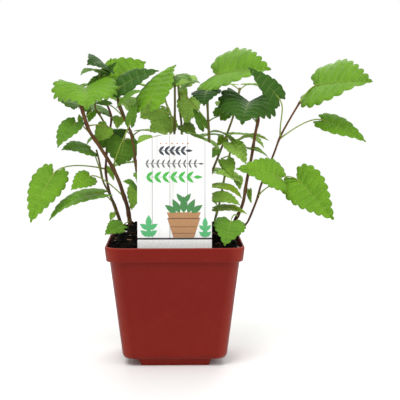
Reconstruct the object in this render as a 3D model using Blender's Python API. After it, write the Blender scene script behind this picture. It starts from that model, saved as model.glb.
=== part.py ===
"""Potted catnip: a square nursery pot, its soil, a plant tag and the leafy stems.

The frame is in metres with +Z up. The origin is the middle of the pot's
underside, +X points right and -Y points towards the viewer of the photo.
"""

import math
import random
from collections import namedtuple

import bmesh
import bpy
from mathutils import Vector
from mathutils.geometry import delaunay_2d_cdt

MM = 0.001

# Pot
POT_WIDTH = 0.1085
POT_HEIGHT = 0.095
BAND_HEIGHT = 0.0115
BAND_BOTTOM_WIDTH = 0.1065
BODY_TOP_WIDTH = 0.101
BODY_BOTTOM_WIDTH = 0.0815
FOOT_WIDTH = 0.0575
FOOT_LENGTH = 0.074
FOOT_DRAFT = 0.002
FOOT_HEIGHT = 0.0055
WALL = 0.0016
CORNER_RADIUS = 0.009
MOST_ROUNDING = 0.8
CORNER_STEPS = 4
BASE_ROUNDING = ((0.0035, 0.0), (0.0008, 0.0012), (0.0, 0.004))
LIP_INSET = 0.0005
LIP_RISE = 0.0008
DRAIN_RADIUS = 0.0038
DRAIN_OFFSET = 0.0335
DRAIN_SIDES = 12
CUT_PAST = 0.002

# The corners of a square, anticlockwise from +X +Y
CORNER_SIGNS = ((1, 1), (-1, 1), (-1, -1), (1, -1))

# Soil
SOIL_GAP = 0.0003
SOIL_TOP_INSET = 0.0006
SOIL_JOINT_INSET = 0.0002
SOIL_JOINT_RISE = 0.0006
SOIL_EDGE = 0.0905
SOIL_HEAP = 0.0165
SOIL_LUMP = 0.0008
SOIL_FRONT = -0.043
SOIL_CREST = -0.012
SOIL_RINGS = (0.2, 0.4, 0.58, 0.75, 0.89, 1.0)
STEM_GAP = 0.0004
STEM_DEPTH = 0.020
HOLE_BELOW = 0.001
HOLE_ABOVE = 0.012

# Plant tag
TAG_WIDTH = 0.0575
TAG_THICKNESS = 0.0008
TAG_FRONT = -0.042
TAG_TOP = 0.1815
TAG_SHOULDER = 0.174
TAG_STAKE_TOP = 0.080
TAG_STAKE_WIDTH = 0.024
TAG_STAKE_POINT = 0.056
TAG_STAKE_TAPER = 0.008
TAG_POINT_WIDTH = 0.006
TAG_ARC_STEPS = 10
TAG_GAP = 0.0004

# Leaves and stems
BLADE_THICKNESS = 0.0008
STALK_RADIUS = 0.0006
STALK_END = 0.00038
STALK_SIDES = 3
STALK_FLARE = 1.3
STALK_LEAST = 0.0003
STALK_SHARE = 0.06
STALK_RISE = 0.12
STALK_LEAVE = 0.35
STALK_ARRIVE = 0.28
STALK_BEND = 0.55
STALK_IN_BLADE = 0.08
TOOTH = 0.036
TOOTH_DIP = 0.4
TOOTH_LEAN = 0.6
FIRST_TOOTH = 0.12
LAST_TOOTH = 0.955
OUTLINE_STEPS = 24
BIG_LEAF = 0.037
SMALL_LEAF = 0.017
STEM_SIDES = 6
CRUMB_POINTS = 16

# View of the photo: the picture places below are in its pixels
PHOTO_CENTRE = 200.0
POT_AXIS_PIXEL = 174.7
PIXEL_SIZE = 0.7626 * MM
EYE_DISTANCE = 0.900
EYE_HEIGHT = 0.214
EYE_PITCH = math.radians(5.2)
EYE_YAW = math.atan((PHOTO_CENTRE - POT_AXIS_PIXEL) * PIXEL_SIZE / EYE_DISTANCE)
FOCAL_PIXELS = 1189.0

# Directions that a leaf's upper face looks in
VIEWER = Vector((0, -1, 0.3))
SKY = Vector((0, -0.3, 1))
BETWEEN = Vector((0, -0.7, 0.7))

Leaf = namedtuple("Leaf", "row base tip width face fold arch droop curl")
Stem = namedtuple("Stem", "low_radius high_radius route leaves")


def seen_at(column, row, depth):
    """The point that the photo shows at a pixel, at a depth in mm behind the pot's axis."""
    eye = Vector((0, -POT_WIDTH / 2 - EYE_DISTANCE, EYE_HEIGHT))
    flat = Vector((math.sin(EYE_YAW), math.cos(EYE_YAW), 0))
    forward = flat * math.cos(EYE_PITCH) - Vector((0, 0, math.sin(EYE_PITCH)))
    right = Vector((flat.y, -flat.x, 0))
    up = right.cross(forward)
    ray = forward + right * ((column - PHOTO_CENTRE) / FOCAL_PIXELS)
    ray += up * ((PHOTO_CENTRE - row) / FOCAL_PIXELS)
    return eye + ray * ((depth * MM - eye.y) / ray.y)


def leaf(row, base, tip, width, face=BETWEEN, fold=16, arch=0.08, droop=0.10, curl=0.0):
    """A leaf whose stalk leaves the stem at a picture row; base and tip are (column, row, depth)."""
    base = seen_at(*base)
    tip = seen_at(*tip)
    return Leaf(row, base, tip, width * MM, Vector(face), math.radians(fold), arch, droop, curl)


# Stems: route from the soil up as (column, row, depth), then the leaves
STEMS = {
    "stem_left_thick": Stem(
        0.0018,
        0.0013,
        [(130.6, 227, 4), (127.5, 207.5, 2), (124, 196.5, 1), (119.5, 182.7, 0), (112.6, 167.4, -2),
         (105.7, 156, -4), (97.3, 143, -6), (88.9, 130, -8), (82.8, 112, -9), (80.7, 104, -9)],
        [
            leaf(106, (85, 88, 2), (87, 110, -40), 57, (0, -0.5, 0.87), 28, 0.08, 0.17, 0.65),
            leaf(112, (77, 106, 9), (63, 97, 36), 26, (0, 0.3, 1), 12),
            leaf(140, (74, 124, -8), (57.7, 147.7, -16), 21, (-0.5, -0.8, 0.35), 16),
            leaf(124, (80.5, 121, -4), (79, 114, -3), 4.5, VIEWER),
            leaf(118, (92, 112, -4), (88.5, 122.5, -8), 8, VIEWER),
            leaf(126, (106, 128, -2), (96, 141, 2), 15, VIEWER, 8),
            leaf(197, (88.5, 177, -10), (71, 190, -24), 17, (0.1, -0.85, 0.5), 10),
            leaf(168, (130.5, 122, -14), (138, 102, -10), 10, (-0.5, -0.8, 0)),
            leaf(222, (122, 225.5, -8), (104.5, 235, -24), 17, (0.1, -0.75, 0.7), 10),
            leaf(214, (136, 188, 9), (131.5, 210, 1), 13, VIEWER, 10),
        ],
    ),
    "stem_left_thin": Stem(
        0.0009,
        0.0008,
        [(119.5, 228, 9), (118.7, 219.5, 8), (114.1, 206.5, 6), (108.8, 192.7, 4), (102.6, 179.7, 3),
         (99.6, 162.8, 4), (96.5, 150, 8)],
        [
            leaf(175, (88, 149, 8), (61.5, 150, -8), 22, (0, -0.6, 0.8), 10),
            leaf(212, (113, 214, 0), (110, 221, -4), 5, VIEWER),
        ],
    ),
    "stem_left_red": Stem(
        0.0011,
        0.0009,
        [(122, 227, 16), (121.4, 223.4, 16), (116, 208.2, 15), (110.7, 195.7, 14), (106.7, 179.6, 13),
         (105.8, 169, 13), (106.5, 155, 14), (108, 139, 15), (111, 123.4, 16), (111, 115, 16),
         (106.5, 102.7, 16), (104.5, 94, 16)],
        [
            leaf(169, (52, 176, -4), (30.4, 223, -16), 29, (-0.2, -0.9, 0.3), 14, droop=0.14),
            leaf(204, (97, 194, 2), (48.7, 221, -10), 25, (0.25, -0.15, 1), 14, 0.12),
            leaf(98, (108, 88, 26), (111, 58, 32), 22, VIEWER, 10),
            leaf(97, (113, 80, 40), (146, 62, 44), 34, (-0.2, -0.9, 0.4), 8),
            leaf(150, (112, 141, 32), (126, 130, 40), 17, (0, -0.8, 0.6), 8),
            leaf(148, (106, 142, 24), (96, 131, 32), 15, (0, -0.8, 0.6), 8),
            leaf(172, (110, 168, 10), (114, 181, 4), 6, VIEWER),
            leaf(118, (119, 118, 6), (117, 129, 0), 10, VIEWER),
        ],
    ),
    "stem_left_inner": Stem(
        0.001,
        0.0008,
        [(146, 229, 24), (139, 190, 24), (134.5, 160, 24), (130.4, 152.9, 24), (117, 137, 25),
         (106.5, 125.7, 24), (100, 115.4, 22), (95, 107, 21), (97, 95, 20), (100, 80, 19), (101, 72, 18)],
        [
            leaf(76, (104, 64, 18), (87, 65, 0), 26, (0, -0.8, 0.6), 8, 0.12),
            leaf(74, (100, 72, 14), (80.7, 75, -6), 16, (0, -0.2, 1), 14, 0.12),
            leaf(84, (99, 81, 21), (87, 85, 17), 10, VIEWER),
            leaf(76, (104.5, 75, 14), (117, 62, 10), 7, VIEWER),
            leaf(112, (100, 112, 34), (80, 104, 56), 24, (0, 0.3, 1)),
        ],
    ),
    "stem_left_brown": Stem(
        0.001,
        0.0008,
        [(143, 229, -8), (139, 185, -9), (137.5, 174.3, -9), (133.9, 148.4, -8), (129.5, 130.5, -6),
         (123.3, 116.5, -3), (118.7, 106.6, 0), (118, 98, 2)],
        [
            leaf(104, (121, 101, -6), (142, 91, -18), 14, (0, -0.6, 0.8), 8),
            leaf(100, (120, 87, 6), (159, 71, 4), 24, (0.1, -0.6, 0.75), 12),
            leaf(140, (124, 142, 6), (119, 166, 2), 30, (0, -0.9, 0.4), 6),
            leaf(186, (136, 187, -14), (123, 181.5, -24), 12, BETWEEN, 10),
            leaf(118, (106, 104, 2), (92, 104, 12), 12, SKY),
        ],
    ),
    "stem_centre": Stem(
        0.0012,
        0.0009,
        [(172, 229, 10), (173, 180, 10), (174.4, 133.5, 10), (174.9, 110, 9),
         (174.9, 84, 8), (175.5, 76, 7)],
        [
            leaf(119, (149.5, 101.5, -16), (176, 65, 4), 40, (-0.57, -0.4, 0.66), 10, 0.06),
            leaf(80, (174, 78, 2), (166, 92, -8), 14, (-0.3, -0.8, 0.5)),
            leaf(79, (178, 76, 8), (192, 83, 4), 15, (0.2, -0.4, 0.9), 12, 0.16),
            leaf(126, (168, 118, 22), (150, 132, 20), 24, VIEWER, 8),
            leaf(170, (160, 160, 22), (150, 156, 46), 26, SKY),
            leaf(190, (186, 186, 2), (200, 196, -22), 26, BETWEEN),
        ],
    ),
    "stem_centre_left": Stem(
        0.0009,
        0.0008,
        [(165, 229, 0), (167, 180, 0), (170.5, 134, 1), (171, 116.3, 2),
         (166.3, 103.6, 0), (162.9, 92, -2)],
        [
            leaf(98, (160, 86, 16), (170, 70, 28), 20, (-0.4, -0.7, 0.6)),
            leaf(110, (156, 108, 18), (140, 118, 18), 20, VIEWER),
            leaf(138, (152, 138, -14), (138, 146, -24), 18, (0, -0.3, 1)),
            leaf(160, (150, 176, -14), (146, 190, -30), 26, BETWEEN),
        ],
    ),
    "stem_centre_right": Stem(
        0.0012,
        0.0009,
        [(184, 229, 22), (183, 170, 21), (181.5, 126, 20), (180.7, 117.4, 19),
         (179, 94.4, 18), (178.3, 86, 18)],
        [
            leaf(112, (189, 100, 18), (186.5, 125, 12), 19, VIEWER, 8),
            leaf(101, (182, 96, 22), (187, 88, 24), 8, VIEWER),
            leaf(136, (184, 126, 10), (196, 137, 2), 13, BETWEEN),
            leaf(92, (181, 84, 30), (192, 76, 52), 24, SKY),
            leaf(160, (194, 150, -2), (202, 160, -24), 22, BETWEEN),
        ],
    ),
    "stem_right_inner": Stem(
        0.0011,
        0.001,
        [(199, 229, 8), (206, 185, 6), (209, 142, 4), (208.2, 124, 3), (207.7, 110, 2), (207, 98, 1)],
        [
            leaf(104, (218, 74, 16), (271, 69.5, -22), 52, (-0.5, -0.5, 0.72), 17, 0.04),
            leaf(102, (207, 91, -4), (204, 106, -18), 24, (-0.2, -0.6, 0.7), 10, 0.12),
            leaf(125, (184, 87, -8), (200, 83, -18), 14, (0, -0.3, 1), 12, 0.14),
            leaf(122, (221, 115, 10), (236, 106, 22), 16, BETWEEN),
            leaf(127, (203.5, 126, 2), (193, 108, 4), 9, VIEWER),
            leaf(150, (217, 150, 8), (212, 158, 0), 8, VIEWER),
            leaf(136, (199, 137, -14), (186, 133.5, -24), 13, (0, -0.2, 1)),
        ],
    ),
    "stem_right_thick": Stem(
        0.0015,
        0.0012,
        [(229, 230, 4), (234.9, 220.3, 3), (238.8, 213.4, 2), (243.4, 201.2, 1), (246.4, 182.8, 0),
         (249.5, 167.5, -1), (251.8, 155.3, -1), (255.5, 132.5, -2), (258.4, 119.7, -3), (258, 112, -3)],
        [
            leaf(124, (249, 102, 2), (242, 125, -36), 53, (0, -0.55, 0.84), 30, 0.08, 0.16, 0.8),
            leaf(124, (248, 114, 16), (244, 104, 44), 26, (0, 0.3, 1)),
            leaf(216, (230.5, 222.5, -30), (224.5, 246, -48), 25, (0, -0.85, 0.5), 10),
            leaf(147, (251, 148, 0), (263, 152, -10), 6, SKY),
            leaf(190, (249.5, 191, 8), (251.5, 203.5, 4), 5, (-0.5, -0.8, 0)),
        ],
    ),
    "stem_right_thin": Stem(
        0.001,
        0.0008,
        [(231, 237, 10), (240, 229.5, 10), (247.2, 222.6, 9), (253.3, 208.9, 8), (257.9, 196.6, 7),
         (261, 185, 6), (270.1, 163, 4), (274.7, 151.5, 3), (280.4, 136.4, 2),
         (291, 117, 0), (300, 102, -2)],
        [
            leaf(103, (318, 85, 8), (373, 81.5, -30), 53, (-0.5, -0.5, 0.72), 12, 0.04),
            leaf(137, (277, 96, -28), (247.5, 67, -40), 16, (-0.55, -0.6, 0.6), 10),
            leaf(139, (326, 121, 6), (366, 142, -6), 20, (0.1, -0.75, 0.6), 8),
            leaf(196, (279, 177, -14), (235.5, 169, -32), 27, (0, -0.85, 0.5), 14, 0.1),
            leaf(180, (299, 181, 2), (334, 220, -14), 35, (-0.3, -0.85, 0.4), 20),
        ],
    ),
    "stem_right_low": Stem(
        0.001,
        0.0008,
        [(212, 229, 24), (219, 205, 25), (225, 175, 26), (231, 149, 26), (232.5, 143, 26)],
        [
            leaf(148, (235, 142, 18), (268.5, 140.5, 6), 17, (0, -0.25, 1), 12, 0.16),
            leaf(147, (231, 139, 20), (208, 133, 8), 14, (0, -0.2, 1), 14, 0.14),
            leaf(149, (232, 144, 12), (246, 164, 0), 18, (0.3, -0.8, 0.5), 14),
            leaf(160, (227, 161, 18), (233, 177, 10), 12, VIEWER),
            leaf(172, (236, 177, 18), (214, 173, 8), 12, BETWEEN),
            leaf(184, (216, 185, 14), (242, 198, 2), 14, (0.2, -0.4, 0.9), 12, 0.12),
            leaf(198, (215, 196, 2), (240, 205, -12), 16, (0.1, -0.7, 0.8), 12),
            leaf(214, (217, 208, 6), (247, 214, -10), 14, (0, -0.4, 1), 12),
            leaf(176, (238, 178, 22), (240, 190, 16), 8, VIEWER),
            leaf(156, (221, 161, 22), (226, 174, 18), 5, VIEWER),
            leaf(150, (224, 138, 28), (217, 146, 22), 9, VIEWER),
            leaf(149, (252, 149, 22), (268, 157, 14), 5, SKY),
        ],
    ),
}

# Stems at the back, hidden in the photo: a route, then (row, compass degrees, length in mm) of each leaf
BACK_STEMS = {
    "stem_back_left": (
        [(158, 229, 30), (150, 190, 46), (138, 150, 62), (124, 115, 76), (114, 88, 84)],
        [(168, 75, 36), (168, 200, 24), (136, 165, 34), (136, -15, 30), (104, 80, 36), (104, 290, 28),
         (89, 10, 32), (89, 165, 34)],
    ),
    "stem_back_centre": (
        [(176, 229, 34), (176, 198, 56), (177, 168, 82), (180, 142, 98)],
        [(200, 160, 30), (200, 20, 30), (170, 70, 36), (170, -90, 26), (144, 30, 34), (144, 150, 34)],
    ),
    "stem_back_right": (
        [(193, 229, 30), (204, 192, 40), (220, 152, 56), (234, 114, 70), (240, 88, 78)],
        [(176, 95, 34), (140, 30, 32), (140, 200, 28), (108, 100, 36), (108, 280, 30),
         (90, 20, 30), (90, 160, 32)],
    ),
}
BACK_LOW_RADIUS = 0.0012
BACK_HIGH_RADIUS = 0.0009
BACK_STALK = 0.011
BACK_RISE = 0.005
BACK_DROOP = 0.42
BACK_WIDTH = 0.76
BACK_LEAN = 0.4
BACK_FOLD = math.radians(12)
BACK_ARCH = 0.12
BACK_EDGE_DROOP = 0.10


def add_object(name, mesh_data):
    """A mesh object made from a finished bmesh."""
    mesh = bpy.data.meshes.new(name)
    bmesh.ops.recalc_face_normals(mesh_data, faces=mesh_data.faces)
    mesh_data.to_mesh(mesh)
    mesh_data.free()
    thing = bpy.data.objects.new(name, mesh)
    bpy.context.scene.collection.objects.link(thing)
    return thing


def fill_rings(rings):
    """A closed bmesh through rings of points, capped at both ends."""
    shape = bmesh.new()
    loops = [[shape.verts.new(point) for point in ring] for ring in rings]
    for low, high in zip(loops, loops[1:]):
        for i in range(len(low)):
            j = (i + 1) % len(low)
            shape.faces.new((low[i], low[j], high[j], high[i]))
    shape.faces.new(reversed(loops[0]))
    shape.faces.new(loops[-1])
    return shape


def frames_along(points):
    """A side and an up direction at each point of a route, turning as little as possible."""
    ends = [points[0]] + list(points) + [points[-1]]
    aims = [(ends[i + 2] - ends[i]).normalized() for i in range(len(points))]
    side = aims[0].orthogonal().normalized()
    frames = []
    for aim in aims:
        side = (side - aim * side.dot(aim)).normalized()
        frames.append((side, aim.cross(side)))
    return frames


def tube(name, points, radii, sides):
    """A rod through points, with a radius at each and flat sides."""
    rings = []
    for point, radius, (side, up) in zip(points, radii, frames_along(points)):
        ring = []
        for k in range(sides):
            angle = 2 * math.pi * (k + 0.5) / sides
            ring.append(point + (side * math.cos(angle) + up * math.sin(angle)) * radius)
        rings.append(ring)
    return add_object(name, fill_rings(rings))


def bezier(start, first, second, end, t):
    """A point of a cubic curve."""
    u = 1 - t
    return start * u**3 + first * (3 * u * u * t) + second * (3 * u * t * t) + end * t**3


def smooth_edge():
    """Half of a leaf's edge without its teeth, from the notch to the tip, one unit long."""
    notch = Vector((0.0, 0.0))
    widest = Vector((0.12, 0.5))
    tip = Vector((1.0, 0.0))
    line = []
    for i in range(OUTLINE_STEPS):
        line.append(bezier(notch, Vector((-0.28, 0.02)), Vector((-0.32, 0.47)), widest, i / OUTLINE_STEPS))
    for i in range(OUTLINE_STEPS + 1):
        line.append(bezier(widest, Vector((0.41, 0.51)), Vector((0.70, 0.23)), tip, i / OUTLINE_STEPS))
    return line


def half_outline(teeth):
    """Half of a leaf's edge with its rounded teeth."""
    line = smooth_edge()
    lengths = [0.0]
    for a, b in zip(line, line[1:]):
        lengths.append(lengths[-1] + (b - a).length)

    def at(share, out):
        """The point at a share of the edge's length, moved out from the leaf."""
        goal = share * lengths[-1]
        i = next(k for k in range(1, len(line)) if lengths[k] >= goal - 1e-9)
        along = (goal - lengths[i - 1]) / (lengths[i] - lengths[i - 1])
        edge = line[i] - line[i - 1]
        return line[i - 1] + edge * along + Vector((-edge.y, edge.x)).normalized() * out

    span = (LAST_TOOTH - FIRST_TOOTH) / teeth
    edge_points = [at(0.0, 0.0)]
    for tooth in range(teeth):
        start = FIRST_TOOTH + span * tooth
        edge_points.append(at(start, -TOOTH * TOOTH_DIP))
        edge_points.append(at(start + span * TOOTH_LEAN, TOOTH))
    edge_points += [at(LAST_TOOTH, 0.0), at(1.0, 0.0)]
    return edge_points


def leaf_pattern(length):
    """The flat triangles of a leaf of about this length: points, triangles and edge loop."""
    if length > BIG_LEAF:
        teeth, along = 8, (0.12, 0.35, 0.60, 0.82)
        sides = ((0.0, 0.24), (0.28, 0.25), (0.58, 0.12))
    elif length > SMALL_LEAF:
        teeth, along = 5, (0.15, 0.45, 0.75)
        sides = ((0.05, 0.25), (0.42, 0.19))
    else:
        teeth, along = 3, (0.25, 0.65)
        sides = ()
    half = half_outline(teeth)
    edge = half + [Vector((p.x, -p.y)) for p in reversed(half[1:-1])]
    inside = [Vector((x, 0.0)) for x in along]
    for x, y in sides:
        inside += [Vector((x, y)), Vector((x, -y))]
    count = len(edge)
    rim = [(i, (i + 1) % count) for i in range(count)]
    midrib = [0] + [count + i for i in range(len(along))] + [len(half) - 1]
    ribs = list(zip(midrib, midrib[1:]))
    points, _, triangles, _, _, _ = delaunay_2d_cdt(edge + inside, rim + ribs, [], 1, 1e-6)
    return points, triangles, rim


def blade_point(shape, x, y):
    """The middle of a leaf's thickness at a flat place, in the object's frame."""
    axis = shape.tip - shape.base
    length = axis.length
    axis.normalize()
    face = (shape.face - axis * shape.face.dot(axis)).normalized()
    side = face.cross(axis)
    across = y * shape.width
    share = min(1.0, abs(y) * 2)
    height = abs(across) * math.sin(shape.fold) - shape.droop * shape.width * share**2.5
    height += shape.arch * length * 4 * x * (1 - x) - shape.curl * length * x * share**2
    return shape.base + axis * (x * length) + side * (across * math.cos(shape.fold)) + face * height


def add_blade(name, shape):
    """One leaf blade, with the same triangles on both faces."""
    points, triangles, rim = leaf_pattern((shape.tip - shape.base).length)
    middle = [blade_point(shape, p.x, p.y) for p in points]
    normals = [Vector() for _ in middle]
    for a, b, c in triangles:
        normal = (middle[b] - middle[a]).cross(middle[c] - middle[a])
        for i in (a, b, c):
            normals[i] += normal
    half = BLADE_THICKNESS / 2
    solid = bmesh.new()
    top = [solid.verts.new(p + n.normalized() * half) for p, n in zip(middle, normals)]
    bottom = [solid.verts.new(p - n.normalized() * half) for p, n in zip(middle, normals)]
    for a, b, c in triangles:
        solid.faces.new((top[a], top[b], top[c]))
        solid.faces.new((bottom[c], bottom[b], bottom[a]))
    for a, b in rim:
        solid.faces.new((bottom[a], bottom[b], top[b]))
        solid.faces.new((bottom[a], top[b], top[a]))
    return add_object(name, solid)


def point_at_row(route, row):
    """The place on a stem's route that the photo shows at a row, or the end nearest to it."""
    for low, high in zip(route, route[1:]):
        if low[1] >= row >= high[1]:
            share = (low[1] - row) / (low[1] - high[1])
            return seen_at(*[a + (b - a) * share for a, b in zip(low, high)])
    return seen_at(*route[-1]) if row < route[-1][1] else seen_at(*route[0])


def add_stalk(name, start, shape):
    """The leaf stalk, from the stem's middle to just inside the blade."""
    axis = (shape.tip - shape.base).normalized()
    reach = (shape.base - start).length
    rise = Vector((0, 0, STALK_RISE * reach))
    leave = start + (shape.base - start) * STALK_LEAVE + rise
    arrive = shape.base - axis * (STALK_ARRIVE * reach)
    points = [bezier(start, leave, arrive, shape.base, t) for t in (0.0, STALK_BEND)]
    points += [blade_point(shape, 0.0, 0.0), blade_point(shape, STALK_IN_BLADE, 0.0)]
    radius = min(STALK_RADIUS, STALK_SHARE * shape.width + STALK_LEAST)
    return tube(name, points, [radius * STALK_FLARE, radius, STALK_END, STALK_END], STALK_SIDES)


def join(base, parts, collection_name):
    """One solid from a base and the parts that touch it."""
    group = bpy.data.collections.new(collection_name)
    bpy.context.scene.collection.children.link(group)
    for part in parts:
        bpy.context.scene.collection.objects.unlink(part)
        group.objects.link(part)
    return apply_boolean(base, group, "UNION")


def cut(base, cutters, collection_name):
    """A solid with holes where the cutters stood."""
    group = bpy.data.collections.new(collection_name)
    bpy.context.scene.collection.children.link(group)
    for cutter in cutters:
        bpy.context.scene.collection.objects.unlink(cutter)
        group.objects.link(cutter)
    return apply_boolean(base, group, "DIFFERENCE")


def apply_boolean(base, group, operation):
    """Joins or cuts a whole collection at once, then removes its objects."""
    boolean = base.modifiers.new("Solid", "BOOLEAN")
    boolean.operand_type = "COLLECTION"
    boolean.collection = group
    boolean.operation = operation
    boolean.solver = "MANIFOLD"
    bpy.context.view_layer.objects.active = base
    bpy.ops.object.modifier_apply(modifier=boolean.name)
    for thing in list(group.objects):
        bpy.data.objects.remove(thing, do_unlink=True)
    bpy.data.collections.remove(group)
    return base


def drop_crumbs(thing):
    """Removes the tiny sealed bubbles that crossing leaves can leave in a solid."""
    solid = bmesh.new()
    solid.from_mesh(thing.data)
    unseen = set(solid.verts)
    while unseen:
        shell = {unseen.pop()}
        edge = list(shell)
        while edge:
            near = {link.other_vert(v) for v in edge for link in v.link_edges}
            edge = [v for v in near if v in unseen]
            shell.update(edge)
            unseen.difference_update(edge)
        if len(shell) < CRUMB_POINTS:
            bmesh.ops.delete(solid, geom=list(shell), context="VERTS")
    solid.to_mesh(thing.data)
    solid.free()
    return thing


def square_ring(half_width, z):
    """A level square of points with rounded corners."""
    ring = []
    radius = min(CORNER_RADIUS, half_width * MOST_ROUNDING)
    inner = half_width - radius
    for corner, (sign_x, sign_y) in enumerate(CORNER_SIGNS):
        for step in range(CORNER_STEPS + 1):
            angle = math.pi / 2 * (corner + step / CORNER_STEPS)
            x = sign_x * inner + radius * math.cos(angle)
            y = sign_y * inner + radius * math.sin(angle)
            ring.append(Vector((x, y, z)))
    return ring


def body_half_width(z):
    """Half of the pot's outside width at a height below the band."""
    share = (z - FOOT_HEIGHT) / (POT_HEIGHT - BAND_HEIGHT - FOOT_HEIGHT)
    return (BODY_BOTTOM_WIDTH + (BODY_TOP_WIDTH - BODY_BOTTOM_WIDTH) * share) / 2


def foot_block(name, low, high, inset):
    """The foot's oblong block, which widens upwards, or the hollow inside it."""
    rings = []
    for z, draft in ((low, FOOT_DRAFT), (high, 0.0)):
        x = FOOT_WIDTH / 2 - inset - draft
        y = FOOT_LENGTH / 2 - inset - draft
        rings.append([Vector((sign_x * x, sign_y * y, z)) for sign_x, sign_y in CORNER_SIGNS])
    return add_object(name, fill_rings(rings))


def make_pot():
    """The moulded shell with its rim band, foot and drain holes."""
    band_bottom = POT_HEIGHT - BAND_HEIGHT
    floor_top = FOOT_HEIGHT + WALL
    base = [
        square_ring(body_half_width(FOOT_HEIGHT + rise) - inset, FOOT_HEIGHT + rise)
        for inset, rise in BASE_ROUNDING
    ]
    outside = [
        square_ring(body_half_width(band_bottom), band_bottom),
        square_ring(BAND_BOTTOM_WIDTH / 2 - LIP_INSET, band_bottom),
        square_ring(BAND_BOTTOM_WIDTH / 2, band_bottom + LIP_RISE),
        square_ring(POT_WIDTH / 2, POT_HEIGHT - LIP_RISE),
        square_ring(POT_WIDTH / 2 - LIP_INSET, POT_HEIGHT),
    ]
    inside = [
        square_ring(POT_WIDTH / 2 - WALL, POT_HEIGHT),
        square_ring(BAND_BOTTOM_WIDTH / 2 - WALL, band_bottom + WALL),
        square_ring(body_half_width(band_bottom) - WALL, band_bottom),
        square_ring(body_half_width(floor_top) - WALL, floor_top),
    ]
    shell = add_object("pot", fill_rings(base + outside + inside))
    pot = join(shell, [foot_block("foot", 0.0, FOOT_HEIGHT + WALL / 2, 0.0)], "foot")
    pot = cut(pot, [foot_block("foot_inside", WALL, floor_top + CUT_PAST, WALL)], "foot_inside")
    drains = []
    for sign_x, sign_y in CORNER_SIGNS:
        x, y = sign_x * DRAIN_OFFSET, sign_y * DRAIN_OFFSET
        ends = [Vector((x, y, FOOT_HEIGHT - CUT_PAST)), Vector((x, y, floor_top + CUT_PAST))]
        drains.append(tube("drain", ends, [DRAIN_RADIUS] * 2, DRAIN_SIDES))
    return cut(pot, drains, "drains")


def soil_top(x, y, half):
    """The height of the soil's heaped surface."""
    side = max(0.0, 1 - abs(x / half) ** 6)
    back = max(0.0, 1 - max(0.0, y / half) ** 6)
    front = min(1.0, max(0.0, (y - SOIL_FRONT) / (SOIL_CREST - SOIL_FRONT)))
    front = front * front * (3 - 2 * front)
    return SOIL_EDGE + SOIL_HEAP * side * back * front


def make_soil(cutters):
    """The soil block with its heaped top and a hole for all that stands in it."""
    chance = random.Random(5)
    top_half = POT_WIDTH / 2 - WALL - SOIL_GAP - SOIL_TOP_INSET
    joint = POT_HEIGHT - BAND_HEIGHT
    floor = FOOT_HEIGHT + WALL + SOIL_GAP
    solid = bmesh.new()
    rings = [
        square_ring(body_half_width(floor) - WALL - SOIL_GAP, floor),
        square_ring(body_half_width(joint) - WALL - SOIL_GAP - SOIL_JOINT_INSET, joint + SOIL_JOINT_RISE),
    ]
    for share in reversed(SOIL_RINGS):
        ring = square_ring(top_half * share, 0)
        for point in ring:
            lump = chance.uniform(-SOIL_LUMP, SOIL_LUMP) if share < 1 else 0
            point.z = soil_top(point.x, point.y, top_half) + lump
        rings.append(ring)
    loops = [[solid.verts.new(point) for point in ring] for ring in rings]
    for low, high in zip(loops, loops[1:]):
        for i in range(len(low)):
            j = (i + 1) % len(low)
            solid.faces.new((low[i], low[j], high[j]))
            solid.faces.new((low[i], high[j], high[i]))
    centre = solid.verts.new((0, 0, soil_top(0, 0, top_half)))
    crown = loops[-1]
    for i in range(len(crown)):
        solid.faces.new((crown[i], crown[(i + 1) % len(crown)], centre))
    solid.faces.new(reversed(loops[0]))
    plug = foot_block("soil_foot", WALL + SOIL_GAP, floor + CUT_PAST, WALL + SOIL_GAP)
    soil = join(add_object("soil", solid), [plug], "soil_foot")
    return cut(soil, cutters, "soil_holes")


def tag_outline(grow=0.0):
    """The tag's outline, seen from the front, grown by a gap for its slot."""
    half = TAG_WIDTH / 2 + grow
    rise = TAG_TOP - TAG_SHOULDER
    radius = (half**2 + rise**2) / (2 * rise)
    sweep = math.asin(half / radius)
    outline = []
    for i in range(TAG_ARC_STEPS + 1):
        angle = sweep * (1 - 2 * i / TAG_ARC_STEPS)
        outline.append((radius * math.sin(angle), TAG_TOP - radius + radius * math.cos(angle)))
    stake = TAG_STAKE_WIDTH / 2 + grow
    point = TAG_POINT_WIDTH / 2 + grow
    shoulder = TAG_STAKE_TOP - grow
    outline += [(-half, shoulder), (-stake, shoulder - TAG_STAKE_TAPER)]
    outline += [(-point, TAG_STAKE_POINT - grow), (point, TAG_STAKE_POINT - grow)]
    outline += [(stake, shoulder - TAG_STAKE_TAPER), (half, shoulder)]
    return outline


def make_tag(name, grow=0.0):
    """The thin card of the plant tag, or the cutter for its slot."""
    back = TAG_FRONT + TAG_THICKNESS + grow
    front = TAG_FRONT - grow
    outline = tag_outline(grow)
    rings = [[Vector((x, y, z)) for x, z in outline] for y in (front, back)]
    return add_object(name, fill_rings(rings))


def stem_points(route):
    """A stem's middle line, from its end in the soil to its top."""
    points = [seen_at(*place) for place in route]
    down = (points[0] - points[1]).normalized()
    return [points[0] + down * STEM_DEPTH] + points


def make_stem(name, stem):
    """One shoot: its stem, leaf stalks and blades as one solid."""
    points = stem_points(stem.route)
    last = len(points) - 1
    radii = [stem.low_radius + (stem.high_radius - stem.low_radius) * i / last for i in range(last + 1)]
    base = tube(name, points, radii, STEM_SIDES)
    parts = []
    for i, shape in enumerate(stem.leaves):
        start = point_at_row(stem.route, shape.row)
        parts.append(add_stalk(f"stalk_{i}", start, shape))
        parts.append(add_blade(f"blade_{i}", shape))
    return drop_crumbs(join(base, parts, name + "_parts"))


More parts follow.
